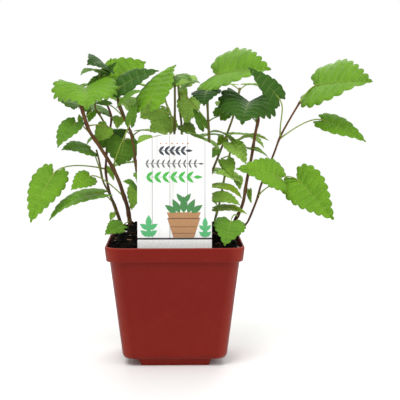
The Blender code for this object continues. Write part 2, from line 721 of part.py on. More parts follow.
def stem_hole(stem):
    """The cutter of the plain hole that a stem stands in."""
    points = stem_points(stem.route)
    up = (points[1] - points[0]).normalized()
    ends = [points[0] - up * HOLE_BELOW, points[1] + up * HOLE_ABOVE]
    return tube("stem_hole", ends, [stem.low_radius + STEM_GAP] * 2, STEM_SIDES)


def back_leaf(route, row, compass, length):
    """A leaf that points away from its stem in a compass direction and droops a little."""
    node = point_at_row(route, row)
    turn = math.radians(compass)
    out = Vector((math.cos(turn), math.sin(turn), 0))
    base = node + out * BACK_STALK + Vector((0, 0, BACK_RISE))
    tip = base + (out - Vector((0, 0, BACK_DROOP))).normalized() * (length * MM)
    face = Vector((0, 0, 1)) + out * BACK_LEAN
    width = length * MM * BACK_WIDTH
    return Leaf(row, base, tip, width, face, BACK_FOLD, BACK_ARCH, BACK_EDGE_DROOP, 0.0)


def all_stems():
    """Every shoot by name, the hidden ones too."""
    stems = dict(STEMS)
    for name, (route, places) in BACK_STEMS.items():
        leaves = [back_leaf(route, *place) for place in places]
        stems[name] = Stem(BACK_LOW_RADIUS, BACK_HIGH_RADIUS, route, leaves)
    return stems


def paint(thing, name, color, roughness):
    """A plain coat of one material."""
    material = bpy.data.materials.new(name)
    material.use_nodes = True
    shader = material.node_tree.nodes["Principled BSDF"]
    shader.inputs["Base Color"].default_value = (*color, 1)
    shader.inputs["Roughness"].default_value = roughness
    thing.data.materials.clear()
    thing.data.materials.append(material)


def build():
    """Every piece of the potted plant."""
    for thing in list(bpy.data.objects):
        bpy.data.objects.remove(thing, do_unlink=True)
    stems = all_stems()
    paint(make_pot(), "terracotta_plastic", (0.21, 0.02, 0.012), 0.45)
    cutters = [stem_hole(stem) for stem in stems.values()] + [make_tag("slot", TAG_GAP)]
    paint(make_soil(cutters), "potting_soil", (0.012, 0.008, 0.006), 0.95)
    paint(make_tag("plant_tag"), "white_card", (0.8, 0.8, 0.78), 0.4)
    for name, stem in stems.items():
        paint(make_stem(name, stem), name + "_green", (0.16, 0.35, 0.04), 0.55)


build()
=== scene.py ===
# %% [markdown]
# # Potted catnip
# A young catnip plant grows in a square plastic nursery pot, with a printed card pushed into its soil.
# The exact solids of the pot, the soil, the card and the shoots come in first and stay where they are.
# Each of them is then stood for by a finer piece, modelled here in the same place and in metres.

import math
import random
from collections import namedtuple

import bmesh
import bpy
from mathutils import Matrix, Vector, noise


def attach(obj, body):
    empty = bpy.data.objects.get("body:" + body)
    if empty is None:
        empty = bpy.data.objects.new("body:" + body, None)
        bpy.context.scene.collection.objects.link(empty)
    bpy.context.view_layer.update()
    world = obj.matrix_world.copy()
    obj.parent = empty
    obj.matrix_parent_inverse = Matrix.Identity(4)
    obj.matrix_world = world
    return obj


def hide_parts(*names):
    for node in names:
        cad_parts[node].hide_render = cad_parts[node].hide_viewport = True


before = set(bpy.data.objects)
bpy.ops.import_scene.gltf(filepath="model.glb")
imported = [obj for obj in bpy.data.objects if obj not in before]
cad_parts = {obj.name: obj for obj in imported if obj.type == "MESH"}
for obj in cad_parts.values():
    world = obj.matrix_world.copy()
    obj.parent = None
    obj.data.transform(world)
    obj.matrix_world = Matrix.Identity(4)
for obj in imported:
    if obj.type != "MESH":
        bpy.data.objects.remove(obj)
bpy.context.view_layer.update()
MM = 0.001
print(len(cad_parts), "solids in the frame")

# %% [markdown]
# ## The camera
# The photo looks a few degrees down at the pot from a little under a metre, and a little to the right of it.
# A camera can be guessed by eye, but lines that run away from the viewer meet in one point of the picture.
# The pot's rim gives that point, so the eye's height and its distance are worked out and used as they are.
# The same numbers then turn any place in the photo, with a depth, into a point of the plant.

# %% The camera of the photo
PHOTO_SIZE = 400
PHOTO_CENTRE = PHOTO_SIZE / 2
EYE_HEIGHT = 0.214
FOCAL_PIXELS = 1189.0
SENSOR_WIDTH = 36.0
POT_WIDTH = 0.1085
POT_AXIS_PIXEL = 174.7
PIXEL_SIZE = 0.7626 * MM
EYE_DISTANCE = 0.900
EYE_PITCH = math.radians(5.2)
EYE_YAW = math.atan((PHOTO_CENTRE - POT_AXIS_PIXEL) * PIXEL_SIZE / EYE_DISTANCE)
EYE = Vector((0, -POT_WIDTH / 2 - EYE_DISTANCE, EYE_HEIGHT))

camera = bpy.data.objects.new("photo_camera", bpy.data.cameras.new("photo_camera"))
camera.data.sensor_width = SENSOR_WIDTH
camera.data.lens = FOCAL_PIXELS * SENSOR_WIDTH / PHOTO_SIZE
camera.location = EYE
camera.rotation_euler = (math.pi / 2 - EYE_PITCH, 0, -EYE_YAW)
bpy.context.scene.collection.objects.link(camera)
bpy.context.scene.camera = camera
print("lens", round(camera.data.lens, 1), "mm")


def seen_at(column, row, depth):
    """The point that the photo shows at a pixel, at a depth in mm behind the pot's axis."""
    flat = Vector((math.sin(EYE_YAW), math.cos(EYE_YAW), 0))
    forward = flat * math.cos(EYE_PITCH) - Vector((0, 0, math.sin(EYE_PITCH)))
    right = Vector((flat.y, -flat.x, 0))
    up = right.cross(forward)
    ray = forward + right * ((column - PHOTO_CENTRE) / FOCAL_PIXELS)
    ray += up * ((PHOTO_CENTRE - row) / FOCAL_PIXELS)
    return EYE + ray * ((depth * MM - EYE.y) / ray.y)


# %% [markdown]
# ## Floor and light
# The photo was taken in soft white light on a white ground, with hardly a shadow.
# A bright sky alone would look flat, so a large lamp above the front gives the leaves their modelling.
# The floor is one plain pale sheet and isn't part of the plant.

# %% Floor, sky and lamps
FLOOR_SIZE = 1.05
SKY_LIGHT = 0.72
SKY_SEEN = 1.0


def lamp(name, place, aim, size, power):
    """A square soft lamp that points at a place."""
    light = bpy.data.lights.new(name, "AREA")
    light.size = size
    light.energy = power
    thing = bpy.data.objects.new(name, light)
    thing.location = place
    thing.rotation_euler = (Vector(aim) - Vector(place)).to_track_quat("-Z", "Y").to_euler()
    bpy.context.scene.collection.objects.link(thing)


world = bpy.data.worlds.new("studio")
world.use_nodes = True
sky = world.node_tree.nodes["Background"]
sky.inputs["Color"].default_value = (1, 1, 1, 1)
sky_seen = world.node_tree.nodes.new("ShaderNodeLightPath").outputs["Is Camera Ray"]
sky_level = world.node_tree.nodes.new("ShaderNodeMapRange")
sky_level.inputs["To Min"].default_value = SKY_LIGHT
sky_level.inputs["To Max"].default_value = SKY_SEEN
world.node_tree.links.new(sky_seen, sky_level.inputs["Value"])
world.node_tree.links.new(sky_level.outputs["Result"], sky.inputs["Strength"])
bpy.context.scene.world = world
bpy.context.scene.view_settings.view_transform = "Standard"
lamp("key", (-0.35, -0.9, 1.5), (0, 0, 0.12), 0.8, 15)
lamp("fill", (1.0, -0.9, 0.6), (0, 0, 0.12), 0.9, 4)
lamp("back", (0.1, 1.0, 1.0), (0, 0, 0.16), 0.9, 9)

floor_mesh = bmesh.new()
bmesh.ops.create_grid(floor_mesh, x_segments=1, y_segments=1, size=FLOOR_SIZE)
floor_data = bpy.data.meshes.new("floor")
floor_mesh.to_mesh(floor_data)
floor_mesh.free()
floor = bpy.data.objects.new("floor", floor_data)
bpy.context.scene.collection.objects.link(floor)
print("one floor, one sky and three lamps")

# %% [markdown]
# ## Small helpers for finishes
# A finish is a chain of nodes that ends in the Principled shader.
# Chains are easier to read when each node is one call, so these helpers add a node and wire it in.
# Colours are written as the eye sees them, from 0 to 255, and turned into light values here.

# %% Helpers for finishes


def light_value(color):
    """A colour of light from the red, green and blue that a screen shows."""
    parts = [c / 255 for c in color]
    return tuple(p / 12.92 if p <= 0.04045 else ((p + 0.055) / 1.055) ** 2.4 for p in parts) + (1.0,)


class Finish:
    """A material that is built up one node at a time."""

    def __init__(self, name, roughness):
        self.material = bpy.data.materials.new(name)
        self.material.use_nodes = True
        self.tree = self.material.node_tree
        self.shader = self.tree.nodes["Principled BSDF"]
        self.shader.inputs["Roughness"].default_value = roughness
        self.place = self.tree.nodes.new("ShaderNodeTexCoord").outputs["Object"]

    def wire(self, socket, value):
        """Sets a socket to a number or colour, or joins it to another node's output."""
        if isinstance(value, bpy.types.NodeSocket):
            self.tree.links.new(value, socket)
        else:
            socket.default_value = value

    def calc(self, operation, first, second=0.0, clamp=False):
        """One step of arithmetic."""
        node = self.tree.nodes.new("ShaderNodeMath")
        node.operation = operation
        node.use_clamp = clamp
        self.wire(node.inputs[0], first)
        self.wire(node.inputs[1], second)
        return node.outputs[0]

    def blend(self, share, first, second, kind="MIX"):
        """A colour between two, or one laid over the other."""
        node = self.tree.nodes.new("ShaderNodeMix")
        node.data_type = "RGBA"
        node.blend_type = kind
        self.wire(node.inputs["Factor"], share)
        self.wire(node.inputs["A"], first)
        self.wire(node.inputs["B"], second)
        return node.outputs["Result"]

    def between(self, value, low, high, start=0.0, end=1.0):
        """A value from one range laid onto another, and kept inside it."""
        node = self.tree.nodes.new("ShaderNodeMapRange")
        for name, number in (("Value", value), ("From Min", low), ("From Max", high)):
            self.wire(node.inputs[name], number)
        self.wire(node.inputs["To Min"], start)
        self.wire(node.inputs["To Max"], end)
        return node.outputs["Result"]

    def grain(self, scale, detail=2.0, stretch=(1, 1, 1), roughness=0.5):
        """Soft cloudy noise in the object's own space."""
        mapping = self.tree.nodes.new("ShaderNodeMapping")
        mapping.inputs["Scale"].default_value = stretch
        self.wire(mapping.inputs["Vector"], self.place)
        node = self.tree.nodes.new("ShaderNodeTexNoise")
        self.wire(node.inputs["Vector"], mapping.outputs[0])
        node.inputs["Scale"].default_value = scale
        node.inputs["Detail"].default_value = detail
        node.inputs["Roughness"].default_value = roughness
        return node.outputs["Fac"]

    def cells(self, scale, feature="DISTANCE_TO_EDGE"):
        """Small cells with a border, as of blistered skin or crumbs."""
        node = self.tree.nodes.new("ShaderNodeTexVoronoi")
        node.feature = feature
        self.wire(node.inputs["Vector"], self.place)
        node.inputs["Scale"].default_value = scale
        return node.outputs["Distance"]

    def attribute(self, name, output):
        """A value that the mesh carries."""
        node = self.tree.nodes.new("ShaderNodeAttribute")
        node.attribute_name = name
        return node.outputs[output]

    def relief(self, height, distance):
        """Small bumps from a height."""
        node = self.tree.nodes.new("ShaderNodeBump")
        node.inputs["Distance"].default_value = distance
        self.wire(node.inputs["Height"], height)
        self.wire(self.shader.inputs["Normal"], node.outputs["Normal"])

    def color(self, value):
        """The finish's colour."""
        self.wire(self.shader.inputs["Base Color"], value)

    def gloss(self, value):
        """A roughness that changes over the surface."""
        self.wire(self.shader.inputs["Roughness"], value)


floor_finish = Finish("pale_floor", 0.7)
floor_finish.color(light_value((244, 244, 243)))
floor.data.materials.append(floor_finish.material)
print("finishes are ready to be mixed")

# %% [markdown]
# ## Putting a piece into the scene
# A bmesh is a mesh that is still being worked on. When it is done it becomes an object at the origin,
# takes its finishes, rides on the plant's one body and hides the exact solid that it stands for.

# %% Finish a piece
ROOT = "root"


def add_piece(name, shape, finishes, node=None, smooth=True):
    """An object made from a finished bmesh."""
    mesh = bpy.data.meshes.new(name)
    shape.to_mesh(mesh)
    shape.free()
    for finish in finishes:
        mesh.materials.append(finish.material)
    if smooth:
        mesh.shade_smooth()
    piece = bpy.data.objects.new(name, mesh)
    bpy.context.scene.collection.objects.link(piece)
    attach(piece, ROOT)
    if node:
        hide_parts(node)
    print(name, len(mesh.polygons), "faces")
    return piece


# %% [markdown]
# ## The pot
# The real pot is one injection moulding in satin red-brown plastic: a square shell with rounded corners
# that narrows downwards, a flared band round its rim, and an oblong foot under its floor.
# It could be cut from a block, but a moulding is easiest to draw as one square whose corners are rounded
# and which is then pushed up in steps, wider or narrower each time, out over the lip and back down inside.

# %% Pot shell
POT_HEIGHT = 0.095
BAND_HEIGHT = 0.0115
BAND_BOTTOM_WIDTH = 0.1065
BODY_TOP_WIDTH = 0.101
BODY_BOTTOM_WIDTH = 0.0815
FOOT_WIDTH = 0.0575
FOOT_LENGTH = 0.074
FOOT_DRAFT = 0.002
FOOT_HEIGHT = 0.0055
WALL = 0.0016
CORNER_RADIUS = 0.009
CORNER_STEPS = 8
DRAIN_RADIUS = 0.0038
DRAIN_OFFSET = 0.0335
BAND_BOTTOM = POT_HEIGHT - BAND_HEIGHT


def body_width(z):
    """The pot's outside width at a height below the band."""
    share = (z - FOOT_HEIGHT) / (BAND_BOTTOM - FOOT_HEIGHT)
    return BODY_BOTTOM_WIDTH + (BODY_TOP_WIDTH - BODY_BOTTOM_WIDTH) * share


def rounded_square(shape, width, z):
    """A level square face with rounded corners."""
    made = bmesh.ops.create_grid(shape, x_segments=1, y_segments=1, size=width / 2)
    bmesh.ops.translate(shape, verts=made["verts"], vec=(0, 0, z))
    bmesh.ops.bevel(shape, geom=made["verts"], offset=CORNER_RADIUS, segments=CORNER_STEPS,
                    profile=0.5, affect="VERTICES", material=-1)
    return shape.faces[:]


def push(shape, faces, old_width, new_width, rise):
    """Extrudes a level face and resizes it."""
    made = bmesh.ops.extrude_face_region(shape, geom=faces)["geom"]
    bmesh.ops.delete(shape, geom=faces, context="FACES_ONLY")
    points = [g for g in made if isinstance(g, bmesh.types.BMVert)]
    middle = sum((p.co for p in points), Vector()) / len(points)
    factor = new_width / old_width
    bmesh.ops.scale(shape, vec=(factor, factor, 1), verts=points, space=Matrix.Translation(-middle))
    bmesh.ops.translate(shape, vec=(0, 0, rise), verts=points)
    return [g for g in made if isinstance(g, bmesh.types.BMFace)]


EDGE = 0.0004
BASE_ROUNDING = ((0.007, 0.0), (0.003, 0.0004), (0.0008, 0.0015))
BODY_START = (0.004, 0.005)
pot_steps = [(body_width(FOOT_HEIGHT) - inset, FOOT_HEIGHT + rise) for inset, rise in BASE_ROUNDING]
pot_steps += [(body_width(FOOT_HEIGHT + rise), FOOT_HEIGHT + rise) for rise in BODY_START]
pot_steps += [
    (body_width(BAND_BOTTOM - EDGE * 2), BAND_BOTTOM - EDGE * 2),
    (body_width(BAND_BOTTOM), BAND_BOTTOM - EDGE),
    (body_width(BAND_BOTTOM) + EDGE * 2, BAND_BOTTOM),
    (BAND_BOTTOM_WIDTH - 0.001 - EDGE, BAND_BOTTOM),
    (BAND_BOTTOM_WIDTH - EDGE, BAND_BOTTOM + EDGE),
    (BAND_BOTTOM_WIDTH, BAND_BOTTOM + EDGE * 3),
    (POT_WIDTH, POT_HEIGHT - EDGE * 3),
    (POT_WIDTH - EDGE, POT_HEIGHT - EDGE),
    (POT_WIDTH - EDGE * 3, POT_HEIGHT),
    (POT_WIDTH - WALL * 2 + EDGE, POT_HEIGHT),
    (POT_WIDTH - WALL * 2, POT_HEIGHT - EDGE),
    (BAND_BOTTOM_WIDTH - WALL * 2, BAND_BOTTOM + WALL),
    (body_width(BAND_BOTTOM) - WALL * 2, BAND_BOTTOM),
    (body_width(FOOT_HEIGHT + WALL) - WALL * 2, FOOT_HEIGHT + WALL),
]
pot_mesh = bmesh.new()
width, height = pot_steps[0]
face = rounded_square(pot_mesh, width, height)
bmesh.ops.duplicate(pot_mesh, geom=face)  # the copy stays behind and closes the pot below
for new_width, new_height in pot_steps[1:]:
    face = push(pot_mesh, face, width, new_width, new_height - height)
    width, height = new_width, new_height
bmesh.ops.remove_doubles(pot_mesh, verts=pot_mesh.verts, dist=1e-6)
bmesh.ops.recalc_face_normals(pot_mesh, faces=pot_mesh.faces)
print("pot shell", len(pot_mesh.faces), "faces")

# %% [markdown]
# The foot stands under the floor and is hollow from above, and four round holes let water out.
# Holes and hollows in a moulding are where steel stood in the mould, so they are cut with Boolean modifiers.

# %% Pot foot and drain holes
DRAIN_SIDES = 20
DRAIN_CUT = 0.02
FOOT_ROUNDING = 0.002


def block(name, low, high, inset):
    """The foot's oblong block, which widens upwards, or the hollow in it."""
    shape = bmesh.new()
    made = bmesh.ops.create_grid(shape, x_segments=1, y_segments=1, size=0.5)
    bmesh.ops.scale(shape, verts=made["verts"], vec=(FOOT_WIDTH - 2 * inset - 2 * FOOT_DRAFT,
                                                    FOOT_LENGTH - 2 * inset - 2 * FOOT_DRAFT, 1))
    bmesh.ops.translate(shape, verts=made["verts"], vec=(0, 0, low))
    base = shape.faces[:]
    top = bmesh.ops.extrude_face_region(shape, geom=base)["geom"]
    points = [g for g in top if isinstance(g, bmesh.types.BMVert)]
    for point in points:
        point.co.x += math.copysign(FOOT_DRAFT, point.co.x)
        point.co.y += math.copysign(FOOT_DRAFT, point.co.y)
    bmesh.ops.translate(shape, verts=points, vec=(0, 0, high - low))
    upright = [e for e in shape.edges if abs(e.verts[0].co.z - e.verts[1].co.z) > 0.001]
    bmesh.ops.bevel(shape, geom=upright, offset=FOOT_ROUNDING, segments=3, profile=0.5, affect="EDGES",
                    material=-1)
    bmesh.ops.recalc_face_normals(shape, faces=shape.faces)
    return tool(name, shape)


def tool(name, shape):
    """A shape that only cuts or joins, and isn't shown."""
    mesh = bpy.data.meshes.new(name)
    shape.to_mesh(mesh)
    shape.free()
    thing = bpy.data.objects.new(name, mesh)
    bpy.context.scene.collection.objects.link(thing)
    return thing


def combine(base, other, operation):
    """Joins or cuts two closed meshes and removes the second."""
    boolean = base.modifiers.new("Solid", "BOOLEAN")
    boolean.object = other
    boolean.operation = operation
    boolean.solver = "EXACT"
    bpy.context.view_layer.update()
    made = bpy.data.meshes.new_from_object(base.evaluated_get(bpy.context.evaluated_depsgraph_get()))
    base.modifiers.clear()
    base.data = made
    bpy.data.objects.remove(other)


pot_tool = tool("pot_tool", pot_mesh)
combine(pot_tool, block("foot", 0.0, FOOT_HEIGHT + WALL / 2, 0.0), "UNION")
combine(pot_tool, block("foot_inside", WALL, FOOT_HEIGHT + WALL + 0.002, WALL), "DIFFERENCE")
for turn in range(4):
    drain = bmesh.new()
    bmesh.ops.create_cone(drain, cap_ends=True, segments=DRAIN_SIDES, radius1=DRAIN_RADIUS,
                          radius2=DRAIN_RADIUS, depth=DRAIN_CUT)
    middle = Matrix.Rotation(turn * math.pi / 2, 3, "Z") @ Vector((DRAIN_OFFSET, DRAIN_OFFSET, FOOT_HEIGHT))
    bmesh.ops.translate(drain, verts=drain.verts, vec=middle)
    combine(pot_tool, tool("drain", drain), "DIFFERENCE")
pot_shape = bmesh.new()
pot_shape.from_mesh(pot_tool.data)
bpy.data.objects.remove(pot_tool)
print("pot with its foot and four holes", len(pot_shape.faces), "faces")

# %% [markdown]
# The plastic is dyed through. It is satin, with a faint orange-peel from the mould and faint random scuffs.
# Near the corners and along the rim's top edge a paler colour is painted on as highlight, and it also grows
# paler low down.
# How near a point is to a corner follows from its own place, so the finish works it out by itself.

# %% Pot finish
POT_RED = light_value((113, 18, 7))
# the paler red stands for painted highlights as well as for scuffs
POT_PALE_AND_HIGHLIGHT = light_value((156, 56, 38))
pot_finish = Finish("red_nursery_plastic", 0.42)
pot_finish.shader.inputs["Specular IOR Level"].default_value = 0.16
axes = pot_finish.tree.nodes.new("ShaderNodeSeparateXYZ")
pot_finish.wire(axes.inputs[0], pot_finish.place)
side_x = pot_finish.calc("ABSOLUTE", axes.outputs["X"])
side_y = pot_finish.calc("ABSOLUTE", axes.outputs["Y"])
half_width = pot_finish.between(axes.outputs["Z"], FOOT_HEIGHT, BAND_BOTTOM,
                                BODY_BOTTOM_WIDTH / 2, BODY_TOP_WIDTH / 2)
inner = pot_finish.calc("MINIMUM", side_x, side_y)
# painted highlight: the colour turns paler near the pot's rounded corners
corner_highlight = pot_finish.between(pot_finish.calc("SUBTRACT", half_width, inner), 0.009, 0.001)
# the colour grows paler towards the bottom of the pot
paler_low_down = pot_finish.between(axes.outputs["Z"], 0.05, 0.0)
scuffs = pot_finish.between(pot_finish.grain(90, 6, roughness=0.7), 0.5, 0.75)
# painted highlight along the rim's top edge
rim_highlight = pot_finish.between(axes.outputs["Z"], POT_HEIGHT - 0.0012, POT_HEIGHT - 0.0002)
# the paler colour mixes painted highlights at the corners and the rim, a paler bottom and random scuffs
painted_highlight_and_scuffs = pot_finish.calc("MULTIPLY", corner_highlight, 0.35)
painted_highlight_and_scuffs = pot_finish.calc("ADD", painted_highlight_and_scuffs, pot_finish.calc("MULTIPLY", paler_low_down, 0.12))
painted_highlight_and_scuffs = pot_finish.calc("ADD", painted_highlight_and_scuffs, pot_finish.calc("MULTIPLY", scuffs, 0.08))
painted_highlight_and_scuffs = pot_finish.calc("ADD", painted_highlight_and_scuffs, pot_finish.calc("MULTIPLY", rim_highlight, 0.35), clamp=True)
pot_finish.color(pot_finish.blend(painted_highlight_and_scuffs, POT_RED, POT_PALE_AND_HIGHLIGHT))
pot_finish.gloss(pot_finish.between(pot_finish.grain(140, 4), 0.3, 0.7, 0.32, 0.46))
pot_finish.relief(pot_finish.grain(900, 3), 0.00006)
pot = add_piece("nursery_pot", pot_shape, [pot_finish], "pot", smooth=False)
pot.data.shade_smooth()
pot.data.set_sharp_from_angle(angle=math.radians(32))

# %% [markdown]
# ## The soil
# Potting mix is dark, crumbly and never flat: it is heaped round the stems and low in front of the card.
# A bump alone would leave the heap's outline smooth. So a fine sheet is raised by the heap's own formula
# and by noise, and loose crumbs, grains of white perlite and bits of bark are strewn over it.

# %% Soil body
SOIL_EDGE = 0.0905
SOIL_HEAP = 0.0165
SOIL_FRONT = -0.043
SOIL_CREST = -0.012
SOIL_HALF = POT_WIDTH / 2 - WALL - 0.0009
SOIL_CELLS = 110
SOIL_CORNER = 0.008
SOIL_SKIRT = ((0.0500, 0.0868), (0.0469, 0.0838), (0.0425, 0.0500))


def soil_top(x, y):
    """The height of the heaped soil."""
    side = max(0.0, 1 - abs(x / SOIL_HALF) ** 6)
    back = max(0.0, 1 - max(0.0, y / SOIL_HALF) ** 6)
    front = min(1.0, max(0.0, (y - SOIL_FRONT) / (SOIL_CREST - SOIL_FRONT)))
    front = front * front * (3 - 2 * front)
    return SOIL_EDGE + SOIL_HEAP * side * back * front


def crumb_height(x, y):
    """Lumps of several sizes on the soil's surface."""
    place = Vector((x, y, 0))
    broad = noise.noise(place * 130)
    middling = noise.noise(place * 320) * 0.8
    fine = abs(noise.noise(place * 700)) * 0.7
    return (broad + middling + fine) * MM


soil_mesh = bmesh.new()
sheet = bmesh.ops.create_grid(soil_mesh, x_segments=SOIL_CELLS, y_segments=SOIL_CELLS,
                              size=SOIL_HALF)["verts"]
inner_corner = SOIL_HALF - SOIL_CORNER
for point in sheet:
    x, y = point.co.x, point.co.y
    if abs(x) > inner_corner and abs(y) > inner_corner:
        over = Vector((abs(x) - inner_corner, abs(y) - inner_corner))
        reach = max(over.x, over.y)
        over = over.normalized() * reach
        x = math.copysign(inner_corner + over.x, x)
        y = math.copysign(inner_corner + over.y, y)
    edge = min(1.0, (SOIL_HALF - max(abs(x), abs(y))) / 0.002)
    point.co = Vector((x, y, soil_top(x, y) + crumb_height(x, y) * edge - 0.0003))
for half, z in SOIL_SKIRT:
    rim = [e for e in soil_mesh.edges if e.is_boundary]
    skirt = bmesh.ops.extrude_edge_only(soil_mesh, edges=rim)["geom"]
    points = [g for g in skirt if isinstance(g, bmesh.types.BMVert)]
    share = half / max(p.co.x for p in points)
    for point in points:
        point.co = Vector((point.co.x * share, point.co.y * share, z))
bmesh.ops.holes_fill(soil_mesh, edges=[e for e in soil_mesh.edges if e.is_boundary], sides=0)
bmesh.ops.recalc_face_normals(soil_mesh, faces=soil_mesh.faces)

soil_finish = Finish("dark_potting_mix", 0.95)
lumps = soil_finish.grain(220, 5, roughness=0.7)
fibres = soil_finish.between(soil_finish.grain(260, 2, stretch=(1, 4, 1)), 0.62, 0.72)
soil_color = soil_finish.blend(soil_finish.between(lumps, 0.35, 0.7),
                               light_value((2, 2, 1)), light_value((10, 8, 5)))
soil_finish.color(soil_finish.blend(fibres, soil_color, light_value((62, 44, 31))))
soil_finish.relief(soil_finish.calc("ADD", lumps, soil_finish.cells(700)), 0.0006)
soil_finish.shader.inputs["Specular IOR Level"].default_value = 0.12
add_piece("potting_mix", soil_mesh, [soil_finish], "soil")

# %% [markdown]
# Crumbs and grains are small icospheres, each pulled out of round and turned at random.
# The draw has a fixed seed, so the same crumbs lie in the same places each time.

# %% Crumbs, perlite and bark
chance = random.Random(11)
CRUMBS = 520
PERLITE = 46
BARK = 70


def strewn(count, low, high, flat, seen=()):
    """Lumps that lie on the soil: a count, sizes in mm, how flat they are, and places to fill first."""
    shape = bmesh.new()
    places = list(seen)
    while len(places) < count:
        place = (chance.uniform(-1, 1) * SOIL_HALF * 0.95, chance.uniform(-1, 1) * SOIL_HALF * 0.95)
        places.append(place)
    for x, y in places:
        size = chance.uniform(low, high) * MM
        made = bmesh.ops.create_icosphere(shape, subdivisions=1, radius=1)["verts"]
        for point in made:
            point.co *= chance.uniform(0.75, 1.15)
        spin = Matrix.Rotation(chance.uniform(0, 2 * math.pi), 4, "Z")
        spin = spin @ Matrix.Rotation(chance.uniform(-0.5, 0.5), 4, "X")
        stretch = Matrix.Diagonal((size * chance.uniform(0.8, 1.6), size, size * flat, 1))
        height = soil_top(x, y) + size * flat * 0.25
        bmesh.ops.transform(shape, matrix=Matrix.Translation((x, y, height)) @ spin @ stretch, verts=made)
    return shape


def speck(column, row, depth):
    """Where a white grain of the photo lies on the soil, inside the pot's wall."""
    point = seen_at(column, row, depth)
    limit = SOIL_HALF - 2 * MM
    return max(-limit, min(limit, point.x)), max(-limit, min(limit, point.y))


perlite_places = [speck(*place) for place in (
    (124.7, 246.3, -40), (238, 243.5, -28), (240, 246, -36), (239, 248, -42))]
add_piece("soil_crumbs", strewn(CRUMBS, 0.7, 2.4, 0.8), [soil_finish])
perlite_finish = Finish("white_perlite", 0.8)
perlite_finish.color(perlite_finish.blend(perlite_finish.grain(900), light_value((205, 200, 190)),
                                          light_value((246, 244, 238))))
perlite_finish.relief(perlite_finish.cells(1800), 0.0003)
add_piece("perlite_grains", strewn(PERLITE, 0.6, 1.3, 0.9, perlite_places), [perlite_finish])
bark_finish = Finish("bark_bits", 0.85)
bark_finish.color(bark_finish.blend(bark_finish.grain(500, 4), light_value((58, 36, 22)),
                                    light_value((140, 104, 70))))
bark_finish.relief(bark_finish.grain(1200, 3), 0.0003)
add_piece("bark_bits", strewn(BARK, 0.8, 2.2, 0.3), [bark_finish])

# %% [markdown]
# ## Leaves
# A catnip leaf is heart-shaped and rounded-toothed, soft and quilted between its veins, which fan
# from the stalk and run out to the teeth. It could be a flat card with a picture, but seen from the side
# that fails. Here a grid is bent into the leaf: its rows run from the midrib to the edge just as the
# side veins do, so both the quilting and the veins' colour can follow the grid.

# %% The shape of a leaf
TOOTH = 0.036
FIRST_TOOTH = 0.12
LAST_TOOTH = 0.955
FAN_END = 0.30
BLADE_THICKNESS = 0.00034
LeafSize = namedtuple("LeafSize", "teeth steps columns")
LEAF_SIZES = ((0.037, LeafSize(9, 6, 6)), (0.017, LeafSize(7, 6, 5)), (0.0, LeafSize(5, 5, 3)))


def bezier(start, first, second, end, t):
    """A point of a cubic curve."""
    u = 1 - t
    return start * u**3 + first * (3 * u * u * t) + second * (3 * u * t * t) + end * t**3


def smooth_edge():
    """Half of a leaf's edge without its teeth, from the notch to the tip, and the length along it."""
    widest = Vector((0.12, 0.5))
    steps = 40
    line = [bezier(Vector((0, 0)), Vector((-0.28, 0.02)), Vector((-0.32, 0.47)), widest, i / steps)
            for i in range(steps)]
    line += [bezier(widest, Vector((0.41, 0.51)), Vector((0.70, 0.23)), Vector((1, 0)), i / steps)
             for i in range(steps + 1)]
    lengths = [0.0]
    for a, b in zip(line, line[1:]):
        lengths.append(lengths[-1] + (b - a).length)
    return line, [x / lengths[-1] for x in lengths]


EDGE_LINE, EDGE_SHARES = smooth_edge()


def edge_at(share, out):
    """The point at a share of the edge, moved out from the leaf."""
    i = next(k for k in range(1, len(EDGE_LINE)) if EDGE_SHARES[k] >= share - 1e-9)
    along = (share - EDGE_SHARES[i - 1]) / (EDGE_SHARES[i] - EDGE_SHARES[i - 1])
    run = EDGE_LINE[i] - EDGE_LINE[i - 1]
    return EDGE_LINE[i - 1] + run * along + Vector((-run.y, run.x)).normalized() * out


def leaf_rows(size):
    """One row for each step along the edge: its place, where it leaves the midrib, and its tooth."""
    span = (LAST_TOOTH - FIRST_TOOTH) / size.teeth
    rows = [(0.0, 0.0, -1.0), (FIRST_TOOTH * 0.35, 0.0, -0.7), (FIRST_TOOTH * 0.7, 0.0, -0.35)]
    for step in range(size.teeth * size.steps + 1):
        phase = step / size.steps
        share = FIRST_TOOTH + span * phase
        bump = abs(math.sin(math.pi * (phase % 1) ** 1.25)) ** 0.75
        out = TOOTH * min(1.0, 0.35 + 5 * (1 - share)) * (1.5 * bump - 0.6)
        rows.append((share, out, phase))
    rows += [(0.975, TOOTH * 0.25, size.teeth + 0.4), (0.99, TOOTH * 0.2, size.teeth + 0.7),
             (1.0, 0.0, size.teeth + 1.0)]
    made = []
    for share, out, phase in rows:
        start = max(0.0, (share - FAN_END) / (1 - FAN_END))
        made.append((edge_at(share, out), start**1.05, phase))
    return made


print("leaf rows", [len(leaf_rows(size)) for _, size in LEAF_SIZES])

# %% [markdown]
# The flat leaf then becomes a blade in space: folded along its midrib, arched along its length and let
# down at its edges. Between the veins it is quilted, and a slow noise ripples it, so no two leaves are
# alike. Its thickness comes last: the whole sheet is extruded and moved along its own normals.

# %% Bend a grid into a blade
QUILT = 0.012
RIPPLE = 0.035
Leaf = namedtuple("Leaf", "row base tip width face fold arch tone droop curl")


def blade_point(shape, x, y):
    """The middle of a leaf's thickness at a flat place."""
    axis = shape.tip - shape.base
    length = axis.length
    axis.normalize()
    face = (shape.face - axis * shape.face.dot(axis)).normalized()
    side = face.cross(axis)
    across = y * shape.width
    share = min(1.0, abs(y) * 2)
    height = abs(across) * math.sin(shape.fold) - shape.droop * shape.width * share**2.5
    height += shape.arch * length * 4 * x * (1 - x) - shape.curl * length * x * share**2
    return shape.base + axis * (x * length) + side * (across * math.cos(shape.fold)) + face * height


def blade_frame(shape):
    """The direction that a leaf's upper face looks in."""
    axis = (shape.tip - shape.base).normalized()
    return (shape.face - axis * shape.face.dot(axis)).normalized()


